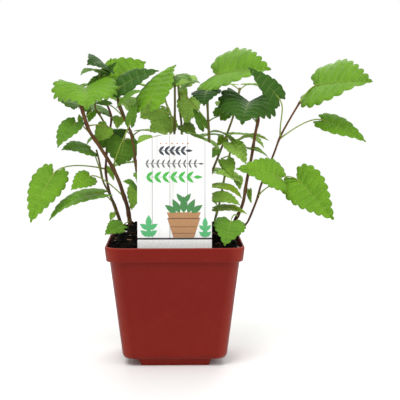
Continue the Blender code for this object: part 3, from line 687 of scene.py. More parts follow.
def add_blade(target, shape, seed):
    """One leaf blade, bent from a grid, quilted and given its thickness."""
    length = (shape.tip - shape.base).length
    size = next(size for limit, size in LEAF_SIZES if length > limit)
    rows = leaf_rows(size)
    face = blade_frame(shape)
    blade = bmesh.new()
    uv = blade.loops.layers.uv.new("veins")
    tone = blade.verts.layers.float_color.new("tone")
    lift = blade.verts.layers.float_vector.new("lift")
    under = blade.faces.layers.float.new("under")
    grid = bmesh.ops.create_grid(blade, x_segments=2 * size.columns, y_segments=len(rows) - 1,
                                 size=1)["verts"]
    where = {}
    for point in grid:
        row = rows[round((point.co.y + 1) / 2 * (len(rows) - 1))]
        where[point] = (row[2], -point.co.x)
    for point in grid:
        edge, start, phase = rows[round((point.co.y + 1) / 2 * (len(rows) - 1))]
        reach = -point.co.x
        share = abs(reach)
        x = start + (edge.x - start) * share**1.12
        y = edge.y * reach
        quilt = math.cos(2 * math.pi * phase) * math.sin(math.pi * min(1.0, share)) * QUILT * shape.width
        quilt *= 1.0 if phase > 0 else 0.0
        ripple = noise.noise(Vector((x * 3 + seed, y * 3, seed))) * RIPPLE * shape.width * share
        valley = -QUILT * shape.width * max(0.0, 1 - share * 5)
        point.co = blade_point(shape, x, y) + face * (quilt + ripple + valley)
        point[tone] = shape.tone
    for face_of_grid in blade.faces:
        for loop in face_of_grid.loops:
            loop[uv].uv = where[loop.vert]
    bmesh.ops.remove_doubles(blade, verts=blade.verts, dist=1e-6)
    blade.normal_update()
    for point in blade.verts:
        point[lift] = point.normal
        point.co -= point.normal * (BLADE_THICKNESS / 2)
    made = bmesh.ops.extrude_face_region(blade, geom=blade.faces[:])["geom"]
    for part in made:
        if isinstance(part, bmesh.types.BMVert):
            part.co += part[lift] * BLADE_THICKNESS
    upper = {part for part in made if isinstance(part, bmesh.types.BMFace)}
    for part in blade.faces:
        part[under] = 0.0 if part in upper else 1.0
    blade.verts.layers.float_vector.remove(lift)
    pour(blade, target)


def pour(source, target):
    """Adds one bmesh to another, with all that its points and faces carry."""
    mesh = bpy.data.meshes.new("poured")
    source.to_mesh(mesh)
    source.free()
    target.from_mesh(mesh)
    bpy.data.meshes.remove(mesh)


# %% [markdown]
# ## Stems and stalks
# Catnip has square stems, green at the top and browner or redder below, a little thicker where a pair
# of leaves sits. A ring of points with four soft corners is pushed along the stem's route, turned with it.

# %% Push a ring along a route
RING_POINTS = 12
SQUARENESS = 0.09


def smooth_route(points, spacing):
    """Points close together on a smooth curve through the given ones."""
    ends = [points[0] * 2 - points[1]] + list(points) + [points[-1] * 2 - points[-2]]
    made = []
    for i in range(1, len(ends) - 2):
        a, b, c, d = ends[i - 1:i + 3]
        count = max(1, round((c - b).length / spacing))
        for k in range(count):
            t = k / count
            made.append(0.5 * (2 * b + (c - a) * t + (2 * a - 5 * b + 4 * c - d) * t**2
                               + (3 * b - a - 3 * c + d) * t**3))
    return made + [points[-1]]


def sweep(target, points, radii, tones, squareness, ring_points=RING_POINTS):
    """A rod along points, with a radius and a colour at each."""
    rod = bmesh.new()
    tone = rod.verts.layers.float_color.new("tone")
    rod.faces.layers.float.new("under")
    rod.loops.layers.uv.new("veins")
    ring = bmesh.ops.create_circle(rod, segments=ring_points, radius=1)["verts"]
    for point in ring:
        point.co *= 1 + squareness * math.cos(4 * math.atan2(point.co.y, point.co.x))
    ends = [points[0]] + list(points) + [points[-1]]
    side = (ends[2] - ends[0]).normalized().orthogonal()
    before = Matrix.Identity(4)
    for i, (point, radius, color) in enumerate(zip(points, radii, tones)):
        aim = (ends[i + 2] - ends[i]).normalized()
        side = (side - aim * side.dot(aim)).normalized()
        turn = Matrix((side, aim.cross(side), aim)).transposed().to_4x4()
        now = Matrix.Translation(point) @ turn @ Matrix.Diagonal((radius, radius, radius, 1))
        if i:
            rims = list({e for v in ring for e in v.link_edges if e.other_vert(v) in ring})
            made = bmesh.ops.extrude_edge_only(rod, edges=rims)["geom"]
            ring = [g for g in made if isinstance(g, bmesh.types.BMVert)]
        bmesh.ops.transform(rod, matrix=now @ before.inverted(), verts=ring)
        before = now
        for v in ring:
            v[tone] = color
    bmesh.ops.holes_fill(rod, edges=[e for e in rod.edges if e.is_boundary], sides=0)
    bmesh.ops.recalc_face_normals(rod, faces=rod.faces)
    for part in rod.faces:
        part.material_index = 1
    pour(rod, target)


# %% [markdown]
# ## Every leaf and stem
# A plant can be grown by rules, but this one is a portrait. So each visible leaf is written down:
# the picture row where its stalk leaves the stem, the places of its base and tip with their depths in mm,
# its width, the way that its upper face looks, its fold, its arch and its tone, which also paints light and
# shade onto it.
# A stem is its two radii, its route from the soil up, its colours and its leaves.

# %% Tones
# Each tone is a leaf's green with its light and shade painted in: the bright tone is painted light on leaves
# that face the lamps, the dark and deepest tones are painted shade on leaves in shadow, the glow tone is
# painted backlight, and the young and yellow tones paint light onto leaves that would render in shade.
LEAF_TONES_AND_LIGHT = {
    "bright": (117, 168, 34),
    "fresh": (104, 154, 38),
    "mid": (92, 136, 36),
    "dark": (56, 98, 22),
    "deep_shade": (38, 76, 18),
    "yellow": (150, 184, 40),
    "olive": (92, 118, 30),
    "young": (140, 184, 62),
    "glow": (176, 220, 96),
}
STEM_COLORS = {
    "brown": ((58, 27, 17), (92, 50, 26)),
    "red": ((78, 28, 30), (92, 42, 38)),
    "mixed": ((70, 48, 28), (98, 98, 44)),
    "green": ((96, 108, 42), (128, 156, 60)),
}
STALK_TONE = light_value((138, 162, 62))
VIEWER = Vector((0, -1, 0.3))
SKY = Vector((0, -0.3, 1))
BETWEEN = Vector((0, -0.7, 0.7))
Stem = namedtuple("Stem", "low_radius high_radius colors route leaves")


def leaf(row, base, tip, width, face=BETWEEN, fold=16, arch=0.08, tone="mid", droop=0.10, curl=0.0):
    """A leaf by its places in the photo."""
    color = light_value(LEAF_TONES_AND_LIGHT[tone])
    return Leaf(row, seen_at(*base), seen_at(*tip), width * MM, Vector(face), math.radians(fold),
                arch, color, droop, curl)


# %% [markdown]
# The left half has five stems. The thickest leans out over the rim and carries the broad bright leaf,
# which looks at the sky and bends its outer edges down. A long stalk holds the low leaf at the far left.

# %% Stems of the left half
STEMS = {
    "stem_left_thick": Stem(
        0.0018, 0.0013, "brown",
        [(130.6, 227, 4), (127.5, 207.5, 2), (124, 196.5, 1), (119.5, 182.7, 0), (112.6, 167.4, -2),
         (105.7, 156, -4), (97.3, 143, -6), (88.9, 130, -8), (82.8, 112, -9), (80.7, 104, -9)],
        [
            leaf(106, (85, 88, 2), (87, 110, -40), 57, (0, -0.5, 0.87), 28, 0.08, "bright", 0.17, 0.65),
            leaf(112, (77, 106, 9), (63, 97, 36), 26, (0, 0.3, 1), 12, tone="bright"),
            leaf(140, (74, 124, -8), (57.7, 147.7, -16), 21, (-0.5, -0.8, 0.35), 16, tone="fresh"),
            leaf(124, (80.5, 121, -4), (79, 114, -3), 4.5, VIEWER, tone="young"),
            leaf(118, (92, 112, -4), (88.5, 122.5, -8), 8, VIEWER, tone="fresh"),
            leaf(126, (106, 128, -2), (96, 141, 2), 15, VIEWER, 8, tone="young"),
            leaf(197, (88.5, 177, -10), (71, 190, -24), 17, (0.1, -0.85, 0.5), 10, tone="bright"),
            leaf(168, (130.5, 122, -14), (138, 102, -10), 10, (-0.5, -0.8, 0), tone="mid"),
            leaf(222, (122, 225.5, -8), (104.5, 235, -24), 17, (0.1, -0.75, 0.7), 10, tone="fresh"),
            leaf(214, (136, 188, 9), (131.5, 210, 1), 13, VIEWER, 10, tone="young"),
        ],
    ),
    "stem_left_thin": Stem(
        0.0009, 0.0008, "mixed",
        [(119.5, 228, 9), (118.7, 219.5, 8), (114.1, 206.5, 6), (108.8, 192.7, 4), (102.6, 179.7, 3),
         (99.6, 162.8, 4), (96.5, 150, 8)],
        [
            leaf(175, (88, 149, 8), (61.5, 150, -8), 22, (0, -0.6, 0.8), 10, tone="fresh"),
            leaf(212, (113, 214, 0), (110, 221, -4), 5, VIEWER, tone="young"),
        ],
    ),
    "stem_left_red": Stem(
        0.0011, 0.0009, "red",
        [(122, 227, 16), (121.4, 223.4, 16), (116, 208.2, 15), (110.7, 195.7, 14), (106.7, 179.6, 13),
         (105.8, 169, 13), (106.5, 155, 14), (108, 139, 15), (111, 123.4, 16), (111, 115, 16),
         (106.5, 102.7, 16), (104.5, 94, 16)],
        [
            leaf(169, (52, 176, -4), (30.4, 223, -16), 29, (-0.2, -0.9, 0.3), 14, tone="bright", droop=0.14),
            leaf(204, (97, 194, 2), (48.7, 221, -10), 25, (0.25, -0.15, 1), 14, 0.12, "bright"),
            leaf(98, (108, 88, 26), (111, 58, 32), 22, VIEWER, 10, tone="bright"),
            leaf(97, (113, 80, 40), (146, 62, 44), 34, (-0.2, -0.9, 0.4), 8, tone="bright"),
            leaf(150, (112, 141, 32), (126, 130, 40), 17, (0, -0.8, 0.6), 8, tone="dark"),
            leaf(148, (106, 142, 24), (96, 131, 32), 15, (0, -0.8, 0.6), 8, tone="mid"),
            leaf(172, (110, 168, 10), (114, 181, 4), 6, VIEWER, tone="young"),
            leaf(118, (119, 118, 6), (117, 129, 0), 10, VIEWER, tone="young"),
        ],
    ),
    "stem_left_inner": Stem(
        0.001, 0.0008, "mixed",
        [(146, 229, 24), (139, 190, 24), (134.5, 160, 24), (130.4, 152.9, 24), (117, 137, 25),
         (106.5, 125.7, 24), (100, 115.4, 22), (95, 107, 21), (97, 95, 20), (100, 80, 19), (101, 72, 18)],
        [
            leaf(76, (104, 64, 18), (87, 65, 0), 26, (0, -0.8, 0.6), 8, 0.12, "deep_shade"),
            leaf(74, (100, 72, 14), (80.7, 75, -6), 16, (0, -0.2, 1), 14, 0.12, "mid"),
            leaf(84, (99, 81, 21), (87, 85, 17), 10, VIEWER, tone="mid"),
            leaf(76, (104.5, 75, 14), (117, 62, 10), 7, VIEWER, tone="dark"),
            leaf(112, (100, 112, 34), (80, 104, 56), 24, (0, 0.3, 1), tone="mid"),
        ],
    ),
    "stem_left_brown": Stem(
        0.001, 0.0008, "brown",
        [(143, 229, -8), (139, 185, -9), (137.5, 174.3, -9), (133.9, 148.4, -8), (129.5, 130.5, -6),
         (123.3, 116.5, -3), (118.7, 106.6, 0), (118, 98, 2)],
        [
            leaf(104, (121, 101, -6), (142, 91, -18), 14, (0, -0.6, 0.8), 8, tone="fresh"),
            leaf(100, (120, 87, 6), (159, 71, 4), 24, (0.1, -0.6, 0.75), 12, tone="dark"),
            leaf(140, (124, 142, 6), (119, 166, 2), 30, (0, -0.9, 0.4), 6, tone="mid"),
            leaf(186, (136, 187, -14), (123, 181.5, -24), 12, BETWEEN, 10, tone="fresh"),
            leaf(118, (106, 104, 2), (92, 104, 12), 12, SKY, tone="fresh"),
        ],
    ),
}
print(len(STEMS), "stems on the left")

# %% [markdown]
# Three thinner stems rise behind the card. Light comes through their leaves from behind, so those that
# the photo shows glowing get the palest tone instead of a lamp of their own.

# %% Stems of the middle
STEMS.update({
    "stem_centre": Stem(
        0.0012, 0.0009, "mixed",
        [(172, 229, 10), (173, 180, 10), (174.4, 133.5, 10), (174.9, 110, 9), (174.9, 84, 8), (175.5, 76, 7)],
        [
            leaf(119, (149.5, 101.5, -16), (176, 65, 4), 40, (-0.57, -0.4, 0.66), 10, 0.06, "bright"),
            leaf(80, (174, 78, 2), (166, 92, -8), 14, (-0.3, -0.8, 0.5), tone="mid"),
            leaf(79, (178, 76, 8), (192, 83, 4), 15, (0.2, -0.4, 0.9), 12, 0.16, "mid"),
            leaf(126, (168, 118, 22), (150, 132, 20), 24, VIEWER, 8, tone="glow"),
            leaf(170, (160, 160, 22), (150, 156, 46), 26, SKY, tone="mid"),
            leaf(190, (186, 186, 2), (200, 196, -22), 26, BETWEEN, tone="mid"),
        ],
    ),
    "stem_centre_left": Stem(
        0.0009, 0.0008, "green",
        [(165, 229, 0), (167, 180, 0), (170.5, 134, 1), (171, 116.3, 2), (166.3, 103.6, 0), (162.9, 92, -2)],
        [
            leaf(98, (160, 86, 16), (170, 70, 28), 20, (-0.4, -0.7, 0.6), tone="fresh"),
            leaf(110, (156, 108, 18), (140, 118, 18), 20, VIEWER, tone="glow"),
            leaf(138, (152, 138, -14), (138, 146, -24), 18, (0, -0.3, 1), tone="young"),
            leaf(160, (150, 176, -14), (146, 190, -30), 26, BETWEEN, tone="fresh"),
        ],
    ),
    "stem_centre_right": Stem(
        0.0012, 0.0009, "mixed",
        [(184, 229, 22), (183, 170, 21), (181.5, 126, 20), (180.7, 117.4, 19), (179, 94.4, 18),
         (178.3, 86, 18)],
        [
            leaf(112, (189, 100, 18), (186.5, 125, 12), 19, VIEWER, 8, tone="glow"),
            leaf(101, (182, 96, 22), (187, 88, 24), 8, VIEWER, tone="young"),
            leaf(136, (184, 126, 10), (196, 137, 2), 13, BETWEEN, tone="olive"),
            leaf(92, (181, 84, 30), (192, 76, 52), 24, SKY, tone="young"),
            leaf(160, (194, 150, -2), (202, 160, -24), 22, BETWEEN, tone="fresh"),
        ],
    ),
})

# %% [markdown]
# On the right the stems lean outwards, and the longest carries the leaf that reaches furthest.
# A low green stem fills the room between the card and the thick one with small young leaves.

# %% Stems of the right half
STEMS.update({
    "stem_right_inner": Stem(
        0.0011, 0.001, "mixed",
        [(199, 229, 8), (206, 185, 6), (209, 142, 4), (208.2, 124, 3), (207.7, 110, 2), (207, 98, 1)],
        [
            leaf(104, (218, 74, 16), (271, 69.5, -22), 52, (-0.5, -0.5, 0.72), 17, 0.04, "bright"),
            leaf(102, (207, 91, -4), (204, 106, -18), 24, (-0.2, -0.6, 0.7), 10, 0.12, "deep_shade"),
            leaf(125, (184, 87, -8), (200, 83, -18), 14, (0, -0.3, 1), 12, 0.14, "mid"),
            leaf(122, (221, 115, 10), (236, 106, 22), 16, BETWEEN, tone="fresh"),
            leaf(127, (203.5, 126, 2), (193, 108, 4), 9, VIEWER, tone="mid"),
            leaf(150, (217, 150, 8), (212, 158, 0), 8, VIEWER, tone="mid"),
            leaf(136, (199, 137, -14), (186, 133.5, -24), 13, (0, -0.2, 1), tone="mid"),
        ],
    ),
    "stem_right_thick": Stem(
        0.0015, 0.0012, "brown",
        [(229, 230, 4), (234.9, 220.3, 3), (238.8, 213.4, 2), (243.4, 201.2, 1), (246.4, 182.8, 0),
         (249.5, 167.5, -1), (251.8, 155.3, -1), (255.5, 132.5, -2), (258.4, 119.7, -3), (258, 112, -3)],
        [
            leaf(124, (249, 102, 2), (242, 125, -36), 53, (0, -0.55, 0.84), 30, 0.08, "dark", 0.16, 0.8),
            leaf(124, (248, 114, 16), (244, 104, 44), 26, (0, 0.3, 1), tone="mid"),
            leaf(216, (230.5, 222.5, -30), (224.5, 246, -48), 25, (0, -0.85, 0.5), 10, tone="fresh"),
            leaf(147, (251, 148, 0), (263, 152, -10), 6, SKY, tone="young"),
            leaf(190, (249.5, 191, 8), (251.5, 203.5, 4), 5, (-0.5, -0.8, 0), tone="young"),
        ],
    ),
    "stem_right_thin": Stem(
        0.001, 0.0008, "brown",
        [(231, 237, 10), (240, 229.5, 10), (247.2, 222.6, 9), (253.3, 208.9, 8), (257.9, 196.6, 7),
         (261, 185, 6), (270.1, 163, 4), (274.7, 151.5, 3), (280.4, 136.4, 2), (291, 117, 0), (300, 102, -2)],
        [
            leaf(103, (318, 85, 8), (372.4, 81.5, -30), 53, (-0.5, -0.5, 0.72), 12, 0.04, "bright"),
            leaf(137, (277, 96, -28), (247.5, 67, -40), 16, (-0.55, -0.6, 0.6), 10, tone="dark"),
            leaf(139, (326, 121, 6), (366, 142, -6), 20, (0.1, -0.75, 0.6), 8, tone="bright"),
            leaf(196, (279, 177, -14), (235.5, 169, -32), 27, (0, -0.85, 0.5), 14, 0.1, "bright"),
            leaf(180, (299, 181, 2), (334, 220, -14), 35, (-0.3, -0.85, 0.4), 20, tone="bright"),
        ],
    ),
    # the pale young, yellow and glow tones of these leaves are painted light on leaves that sit in shade
    "stem_right_low": Stem(
        0.001, 0.0008, "green",
        [(212, 229, 24), (219, 205, 25), (225, 175, 26), (231, 149, 26), (232.5, 143, 26)],
        [
            leaf(148, (235, 142, 18), (268.5, 140.5, 6), 17, (0, -0.25, 1), 12, 0.16, "yellow"),
            leaf(147, (231, 139, 20), (208, 133, 8), 14, (0, -0.2, 1), 14, 0.14, "young"),
            leaf(149, (232, 144, 12), (246, 164, 0), 18, (0.3, -0.8, 0.5), 14, tone="glow"),
            leaf(160, (227, 161, 18), (233, 177, 10), 12, VIEWER, tone="young"),
            leaf(172, (236, 177, 18), (214, 173, 8), 12, BETWEEN, tone="glow"),
            leaf(184, (216, 185, 14), (242, 198, 2), 14, (0.2, -0.4, 0.9), 12, 0.12, "yellow"),
            leaf(198, (215, 196, 2), (240, 205, -12), 16, (0.1, -0.7, 0.8), 12, tone="young"),
            leaf(214, (217, 208, 6), (247, 214, -10), 14, (0, -0.4, 1), 12, tone="yellow"),
            leaf(176, (238, 178, 22), (240, 190, 16), 8, VIEWER, tone="glow"),
            leaf(156, (221, 161, 22), (226, 174, 18), 5, VIEWER, tone="young"),
            leaf(150, (224, 138, 28), (217, 146, 22), 9, VIEWER, tone="yellow"),
            leaf(149, (252, 149, 22), (268, 157, 14), 5, SKY, tone="young"),
        ],
    ),
})
print(len(STEMS), "stems seen in the photo")

# %% [markdown]
# The photo shows the plant from the front only. Behind it three more shoots fill the clump.
# Their leaves leave the stem in compass directions and droop a little, as the visible ones do.

# %% Stems at the back
BACK_STEMS = {
    "stem_back_left": (
        [(158, 229, 30), (150, 190, 46), (138, 150, 62), (124, 115, 76), (114, 88, 84)],
        [(168, 75, 36), (168, 200, 24), (136, 165, 34), (136, -15, 30), (104, 80, 36), (104, 290, 28),
         (89, 10, 32), (89, 165, 34)],
    ),
    "stem_back_centre": (
        [(176, 229, 34), (176, 198, 56), (177, 168, 82), (180, 142, 98)],
        [(200, 160, 30), (200, 20, 30), (170, 70, 36), (170, -90, 26), (144, 30, 34), (144, 150, 34)],
    ),
    "stem_back_right": (
        [(193, 229, 30), (204, 192, 40), (220, 152, 56), (234, 114, 70), (240, 88, 78)],
        [(176, 95, 34), (140, 30, 32), (140, 200, 28), (108, 100, 36), (108, 280, 30), (90, 20, 30),
         (90, 160, 32)],
    ),
}
BACK_STALK = 0.011
BACK_RISE = 0.005
BACK_DROOP = 0.42
BACK_WIDTH = 0.76
BACK_LEAN = 0.4
BACK_FOLD = math.radians(12)
BACK_ARCH = 0.12
EDGE_DROOP = 0.10
# the back leaves take these tones in turn, and the glow and young tones among them are painted backlight
BACK_TONES = ("young", "glow", "fresh", "yellow", "young")


def point_at_row(route, row):
    """The place on a stem's route that the photo shows at a row, or the end nearest to it."""
    for low, high in zip(route, route[1:]):
        if low[1] >= row >= high[1]:
            share = (low[1] - row) / (low[1] - high[1])
            return seen_at(*[a + (b - a) * share for a, b in zip(low, high)])
    return seen_at(*route[-1]) if row < route[-1][1] else seen_at(*route[0])


def back_leaf(route, row, compass, length, tone):
    """A leaf that points away from its stem in a compass direction and droops a little."""
    turn = math.radians(compass)
    out = Vector((math.cos(turn), math.sin(turn), 0))
    base = point_at_row(route, row) + out * BACK_STALK + Vector((0, 0, BACK_RISE))
    tip = base + (out - Vector((0, 0, BACK_DROOP))).normalized() * (length * MM)
    face = Vector((0, 0, 1)) + out * BACK_LEAN
    return Leaf(row, base, tip, length * MM * BACK_WIDTH, face, BACK_FOLD, BACK_ARCH,
                light_value(LEAF_TONES_AND_LIGHT[tone]), EDGE_DROOP, 0.0)


for name, (route, places) in BACK_STEMS.items():
    leaves = [back_leaf(route, *place, BACK_TONES[i % len(BACK_TONES)]) for i, place in enumerate(places)]
    STEMS[name] = Stem(0.0012, 0.0009, "mixed", route, leaves)
print(sum(len(stem.leaves) for stem in STEMS.values()), "leaves on", len(STEMS), "stems")

# %% [markdown]
# ## The finish of a leaf
# The upper face is soft green with paler veins that lie in valleys, and the underside is paler still.
# The UV map tells each point its tooth and how far it lies from the midrib, so that a vein is simply
# the middle of a tooth. Fine down scatters light, which the sheen of the shader gives.

# %% Leaf and stem finishes
leaf_finish = Finish("downy_leaf", 0.58)
vein_map = leaf_finish.tree.nodes.new("ShaderNodeUVMap")
vein_map.uv_map = "veins"
vein_axes = leaf_finish.tree.nodes.new("ShaderNodeSeparateXYZ")
leaf_finish.wire(vein_axes.inputs[0], vein_map.outputs[0])
reach = leaf_finish.calc("ABSOLUTE", vein_axes.outputs["Y"])
along_tooth = leaf_finish.calc("FRACT", vein_axes.outputs["X"])
from_vein = leaf_finish.calc("ABSOLUTE", leaf_finish.calc("SUBTRACT", along_tooth, 0.5))
vein_width = leaf_finish.between(reach, 0.0, 1.0, 0.24, 0.05)
side_vein = leaf_finish.calc("SUBTRACT", 1.0, leaf_finish.calc("DIVIDE", from_vein, vein_width), clamp=True)
midrib = leaf_finish.between(reach, 0.055, 0.0)
veins = leaf_finish.calc("MAXIMUM", leaf_finish.calc("MULTIPLY", side_vein, 0.45), midrib)
cell = leaf_finish.between(leaf_finish.cells(560), 0.0, 0.28)
# the tone carries each leaf's green together with its painted light and shade
tone = leaf_finish.attribute("tone", "Color")
clouds = leaf_finish.between(leaf_finish.grain(70, 3), 0.3, 0.7, 0.0, 0.30)
shade = leaf_finish.blend(clouds, tone, (0.02, 0.07, 0.01, 1))
# painted shade: the creases between the small blisters are darkened
shade = leaf_finish.blend(leaf_finish.between(cell, 0.0, 1.0, 0.22, 0.0), shade, (0.02, 0.06, 0.01, 1))
shade = leaf_finish.blend(leaf_finish.calc("MULTIPLY", veins, 0.20), shade, light_value((178, 205, 110)))
paler = leaf_finish.calc("MULTIPLY", leaf_finish.attribute("under", "Fac"), 0.45)
leaf_finish.color(leaf_finish.blend(paler, shade, light_value((150, 185, 105))))
blister = leaf_finish.calc("SUBTRACT", cell, leaf_finish.calc("MULTIPLY", veins, 1.4))
blister = leaf_finish.calc("ADD", blister, leaf_finish.calc("MULTIPLY", leaf_finish.grain(1500, 2), 0.35))
leaf_finish.relief(blister, 0.00024)
leaf_finish.shader.inputs["Sheen Weight"].default_value = 0.05
leaf_finish.shader.inputs["Sheen Roughness"].default_value = 0.4
leaf_finish.shader.inputs["Sheen Tint"].default_value = (0.85, 1.0, 0.45, 1)
leaf_finish.shader.inputs["Specular IOR Level"].default_value = 0.16

stem_finish = Finish("square_stem", 0.55)
stem_tone = stem_finish.attribute("tone", "Color")
streaks = stem_finish.between(stem_finish.grain(420, 3, stretch=(1, 1, 0.12)), 0.35, 0.65)
streaks = stem_finish.calc("MULTIPLY", streaks, 0.30)
stem_finish.color(stem_finish.blend(streaks, stem_tone, light_value((134, 112, 52))))
stem_finish.relief(stem_finish.grain(1300, 2, stretch=(1, 1, 0.3)), 0.00025)
stem_finish.shader.inputs["Specular IOR Level"].default_value = 0.25
print("leaf and stem finishes")

# %% [markdown]
# ## Growing the shoots
# Every stem swells a little where a leaf stalk leaves it, and its colour changes on the way up.
# A stalk leaves the stem upwards, bends over to its leaf and runs on below it as the midrib. Stem, stalks
# and blades stay one mesh, as they grew, and that mesh stands for the one solid of the same shoot.

# %% Grow every stem
STEM_DEPTH = 0.020
STALK_RADIUS = 0.00052
NODE_SWELL = 1.28
NODE_SPREAD = 0.004


def add_stalk(target, start, shape):
    """The leaf stalk, from the stem to the blade, and on under it as its midrib."""
    axis = (shape.tip - shape.base).normalized()
    under = -blade_frame(shape)
    gap = (shape.base - start).length
    leave = start + (shape.base - start) * 0.35 + Vector((0, 0, 0.12 * gap))
    arrive = shape.base - axis * (0.28 * gap)
    points = [bezier(start, leave, arrive, shape.base, t / 8) for t in range(9)]
    points += [blade_point(shape, x, 0.0) + under * 0.00025 for x in (0.05, 0.18, 0.35, 0.55, 0.75)]
    radius = min(STALK_RADIUS, 0.05 * shape.width + 0.00028)
    radii = [radius * 1.5, radius * 1.15] + [radius] * 6 + [radius * 0.9, radius * 0.8, radius * 0.65]
    radii += [radius * 0.5, radius * 0.36, radius * 0.2]
    stalk = [STALK_TONE] * 9 + [tuple(0.5 * (a + b) for a, b in zip(STALK_TONE, shape.tone))] * 5
    sweep(target, points, radii, stalk, 0.0, 8)


def grow(name, stem):
    """One shoot: its stem, leaf stalks and blades in one piece."""
    shoot = bmesh.new()
    route = [seen_at(*place) for place in stem.route]
    route = [route[0] + (route[0] - route[1]).normalized() * STEM_DEPTH] + route
    points = smooth_route(route, 0.0025)
    starts = [point_at_row(stem.route, shape.row) for shape in stem.leaves]
    low, high = [light_value(c) for c in STEM_COLORS[stem.colors]]
    radii, colors = [], []
    for i, point in enumerate(points):
        share = i / (len(points) - 1)
        near = min((point - start).length for start in starts)
        swell = 1 + (NODE_SWELL - 1) * max(0.0, 1 - near / NODE_SPREAD)
        radii.append((stem.low_radius + (stem.high_radius - stem.low_radius) * share) * swell)
        mix = min(1.0, max(0.0, share * 1.3 - 0.15))
        colors.append(tuple(a + (b - a) * mix for a, b in zip(low, high)))
    sweep(shoot, points, radii, colors, SQUARENESS)
    for i, (start, shape) in enumerate(zip(starts, stem.leaves)):
        add_stalk(shoot, start, shape)
        add_blade(shoot, shape, i * 7.3 + len(name))
    return add_piece(name.replace("stem", "shoot"), shoot, [leaf_finish, stem_finish], name)


faces = 0
for name, stem in STEMS.items():
    faces += len(grow(name, stem).data.polygons)
print(faces, "faces on all the shoots")

# %% [markdown]
# ## The plant card
# The real card is a thin white plastic sheet with an arched top, printed on its front and pushed
# into the soil. The print here is a plain design of its own: pale boards, sprigs and a clay pot.
# A picture file isn't needed: each printed shape is a thin film on the card, cut to its outline.

# %% Card
ARCH_STEPS = 12
BOARD_WIDTH = 0.0135
BOARD_SHIFT = 0.27
STAKE_TAPER = 0.008
STAKE_TIP = 0.003
TAG_WIDTH = 0.0575
TAG_THICKNESS = 0.0008
TAG_FRONT = -0.042
TAG_TOP = 0.1815
TAG_SHOULDER = 0.174
TAG_STAKE_TOP = 0.080
TAG_STAKE_WIDTH = 0.024
TAG_STAKE_POINT = 0.056
INK = 0.00004


def plate(shape, outline, front, back):
    """A flat plate with an outline of (x, z) places, between two depths."""
    points = [shape.verts.new((x, front, z)) for x, z in outline]
    base = bmesh.ops.contextual_create(shape, geom=points)["faces"]
    made = bmesh.ops.extrude_face_region(shape, geom=base)["geom"]
    moved = [g for g in made if isinstance(g, bmesh.types.BMVert)]
    bmesh.ops.translate(shape, verts=moved, vec=(0, back - front, 0))
    return moved + points


def card_outline():
    """The card's outline from its right shoulder round."""
    half = TAG_WIDTH / 2
    rise = TAG_TOP - TAG_SHOULDER
    radius = (half**2 + rise**2) / (2 * rise)
    sweep_angle = math.asin(half / radius)
    outline = []
    for i in range(2 * ARCH_STEPS + 1):
        angle = sweep_angle * (1 - i / ARCH_STEPS)
        outline.append((radius * math.sin(angle), TAG_TOP - radius + radius * math.cos(angle)))
    stake = TAG_STAKE_WIDTH / 2
    taper = TAG_STAKE_TOP - STAKE_TAPER
    outline += [(-half, TAG_STAKE_TOP), (-stake, taper), (-STAKE_TIP, TAG_STAKE_POINT)]
    return outline + [(STAKE_TIP, TAG_STAKE_POINT), (stake, taper), (half, TAG_STAKE_TOP)]


card = bmesh.new()
plate(card, card_outline(), TAG_FRONT, TAG_FRONT + TAG_THICKNESS)
bmesh.ops.recalc_face_normals(card, faces=card.faces)
card_finish = Finish("printed_card", 0.35)
card_axes = card_finish.tree.nodes.new("ShaderNodeSeparateXYZ")
card_finish.wire(card_axes.inputs[0], card_finish.place)
boards = card_finish.calc("DIVIDE", card_axes.outputs["X"], BOARD_WIDTH)
board = card_finish.calc("FRACT", card_finish.calc("ADD", boards, BOARD_SHIFT))
from_middle = card_finish.calc("ABSOLUTE", card_finish.calc("SUBTRACT", board, 0.5))
joint = card_finish.between(from_middle, 0.465, 0.485)
printed = card_finish.calc("LESS_THAN", card_axes.outputs["Y"], TAG_FRONT + 0.0002)
wood = card_finish.between(card_finish.grain(160, 5, stretch=(1, 1, 0.06)), 0.35, 0.75, 0.0, 0.8)
face_color = card_finish.blend(wood, light_value((244, 244, 242)), light_value((206, 206, 204)))
joint = card_finish.calc("MULTIPLY", joint, 0.6)
face_color = card_finish.blend(joint, face_color, light_value((120, 120, 118)))
card_finish.color(card_finish.blend(printed, light_value((240, 240, 238)), face_color))
add_piece("plant_card", card, [card_finish], "plant_tag", smooth=False)


# %% [markdown]
# The upper half of the print is four rows: a line of amber dots, a short slate sprig, and two longer
# twigs in grey and green. A leaf's outline is one curve, mirrored, and a twig is a loop of such leaves.

# %% Print on the card
def leaf_outline(x, z, length, width, angle):
    """The outline of a small printed leaf that grows from a place on the card."""
    half = [(i / 10 * length, width / 2 * math.sin(math.pi * (i / 10) ** 0.8)) for i in range(11)]
    flat = half + [(a, -b) for a, b in reversed(half[1:-1])]
    turn = math.radians(angle)
    c, s = math.cos(turn), math.sin(turn)
    return [(x + a * c - b * s, z + a * s + b * c) for a, b in flat]


def disc(x, z, radius):
    """A small round dot on the card."""
    turns = [math.pi * i / 6 for i in range(12)]
    return [(x + radius * math.cos(turn), z + radius * math.sin(turn)) for turn in turns]


def film(name, color, outlines, lift=1):
    """One ink: all its shapes as one thin piece on the card."""
    shape = bmesh.new()
    for i, outline in enumerate(outlines):
        plate(shape, outline, TAG_FRONT - INK * lift - INK * 0.2 * i, TAG_FRONT)
    bmesh.ops.recalc_face_normals(shape, faces=shape.faces)
    ink = Finish(name + "_ink", 0.35)
    speckle = ink.between(ink.grain(900, 3), 0.3, 0.7, 0.0, 0.35)
    ink.color(ink.blend(speckle, light_value(color), light_value([c * 0.72 for c in color])))
    return add_piece(name, shape, [ink], smooth=False)


def box(x0, z0, x1, z1):
    """An upright rectangle on the card."""
    return [(x0, z0), (x1, z0), (x1, z1), (x0, z1)]


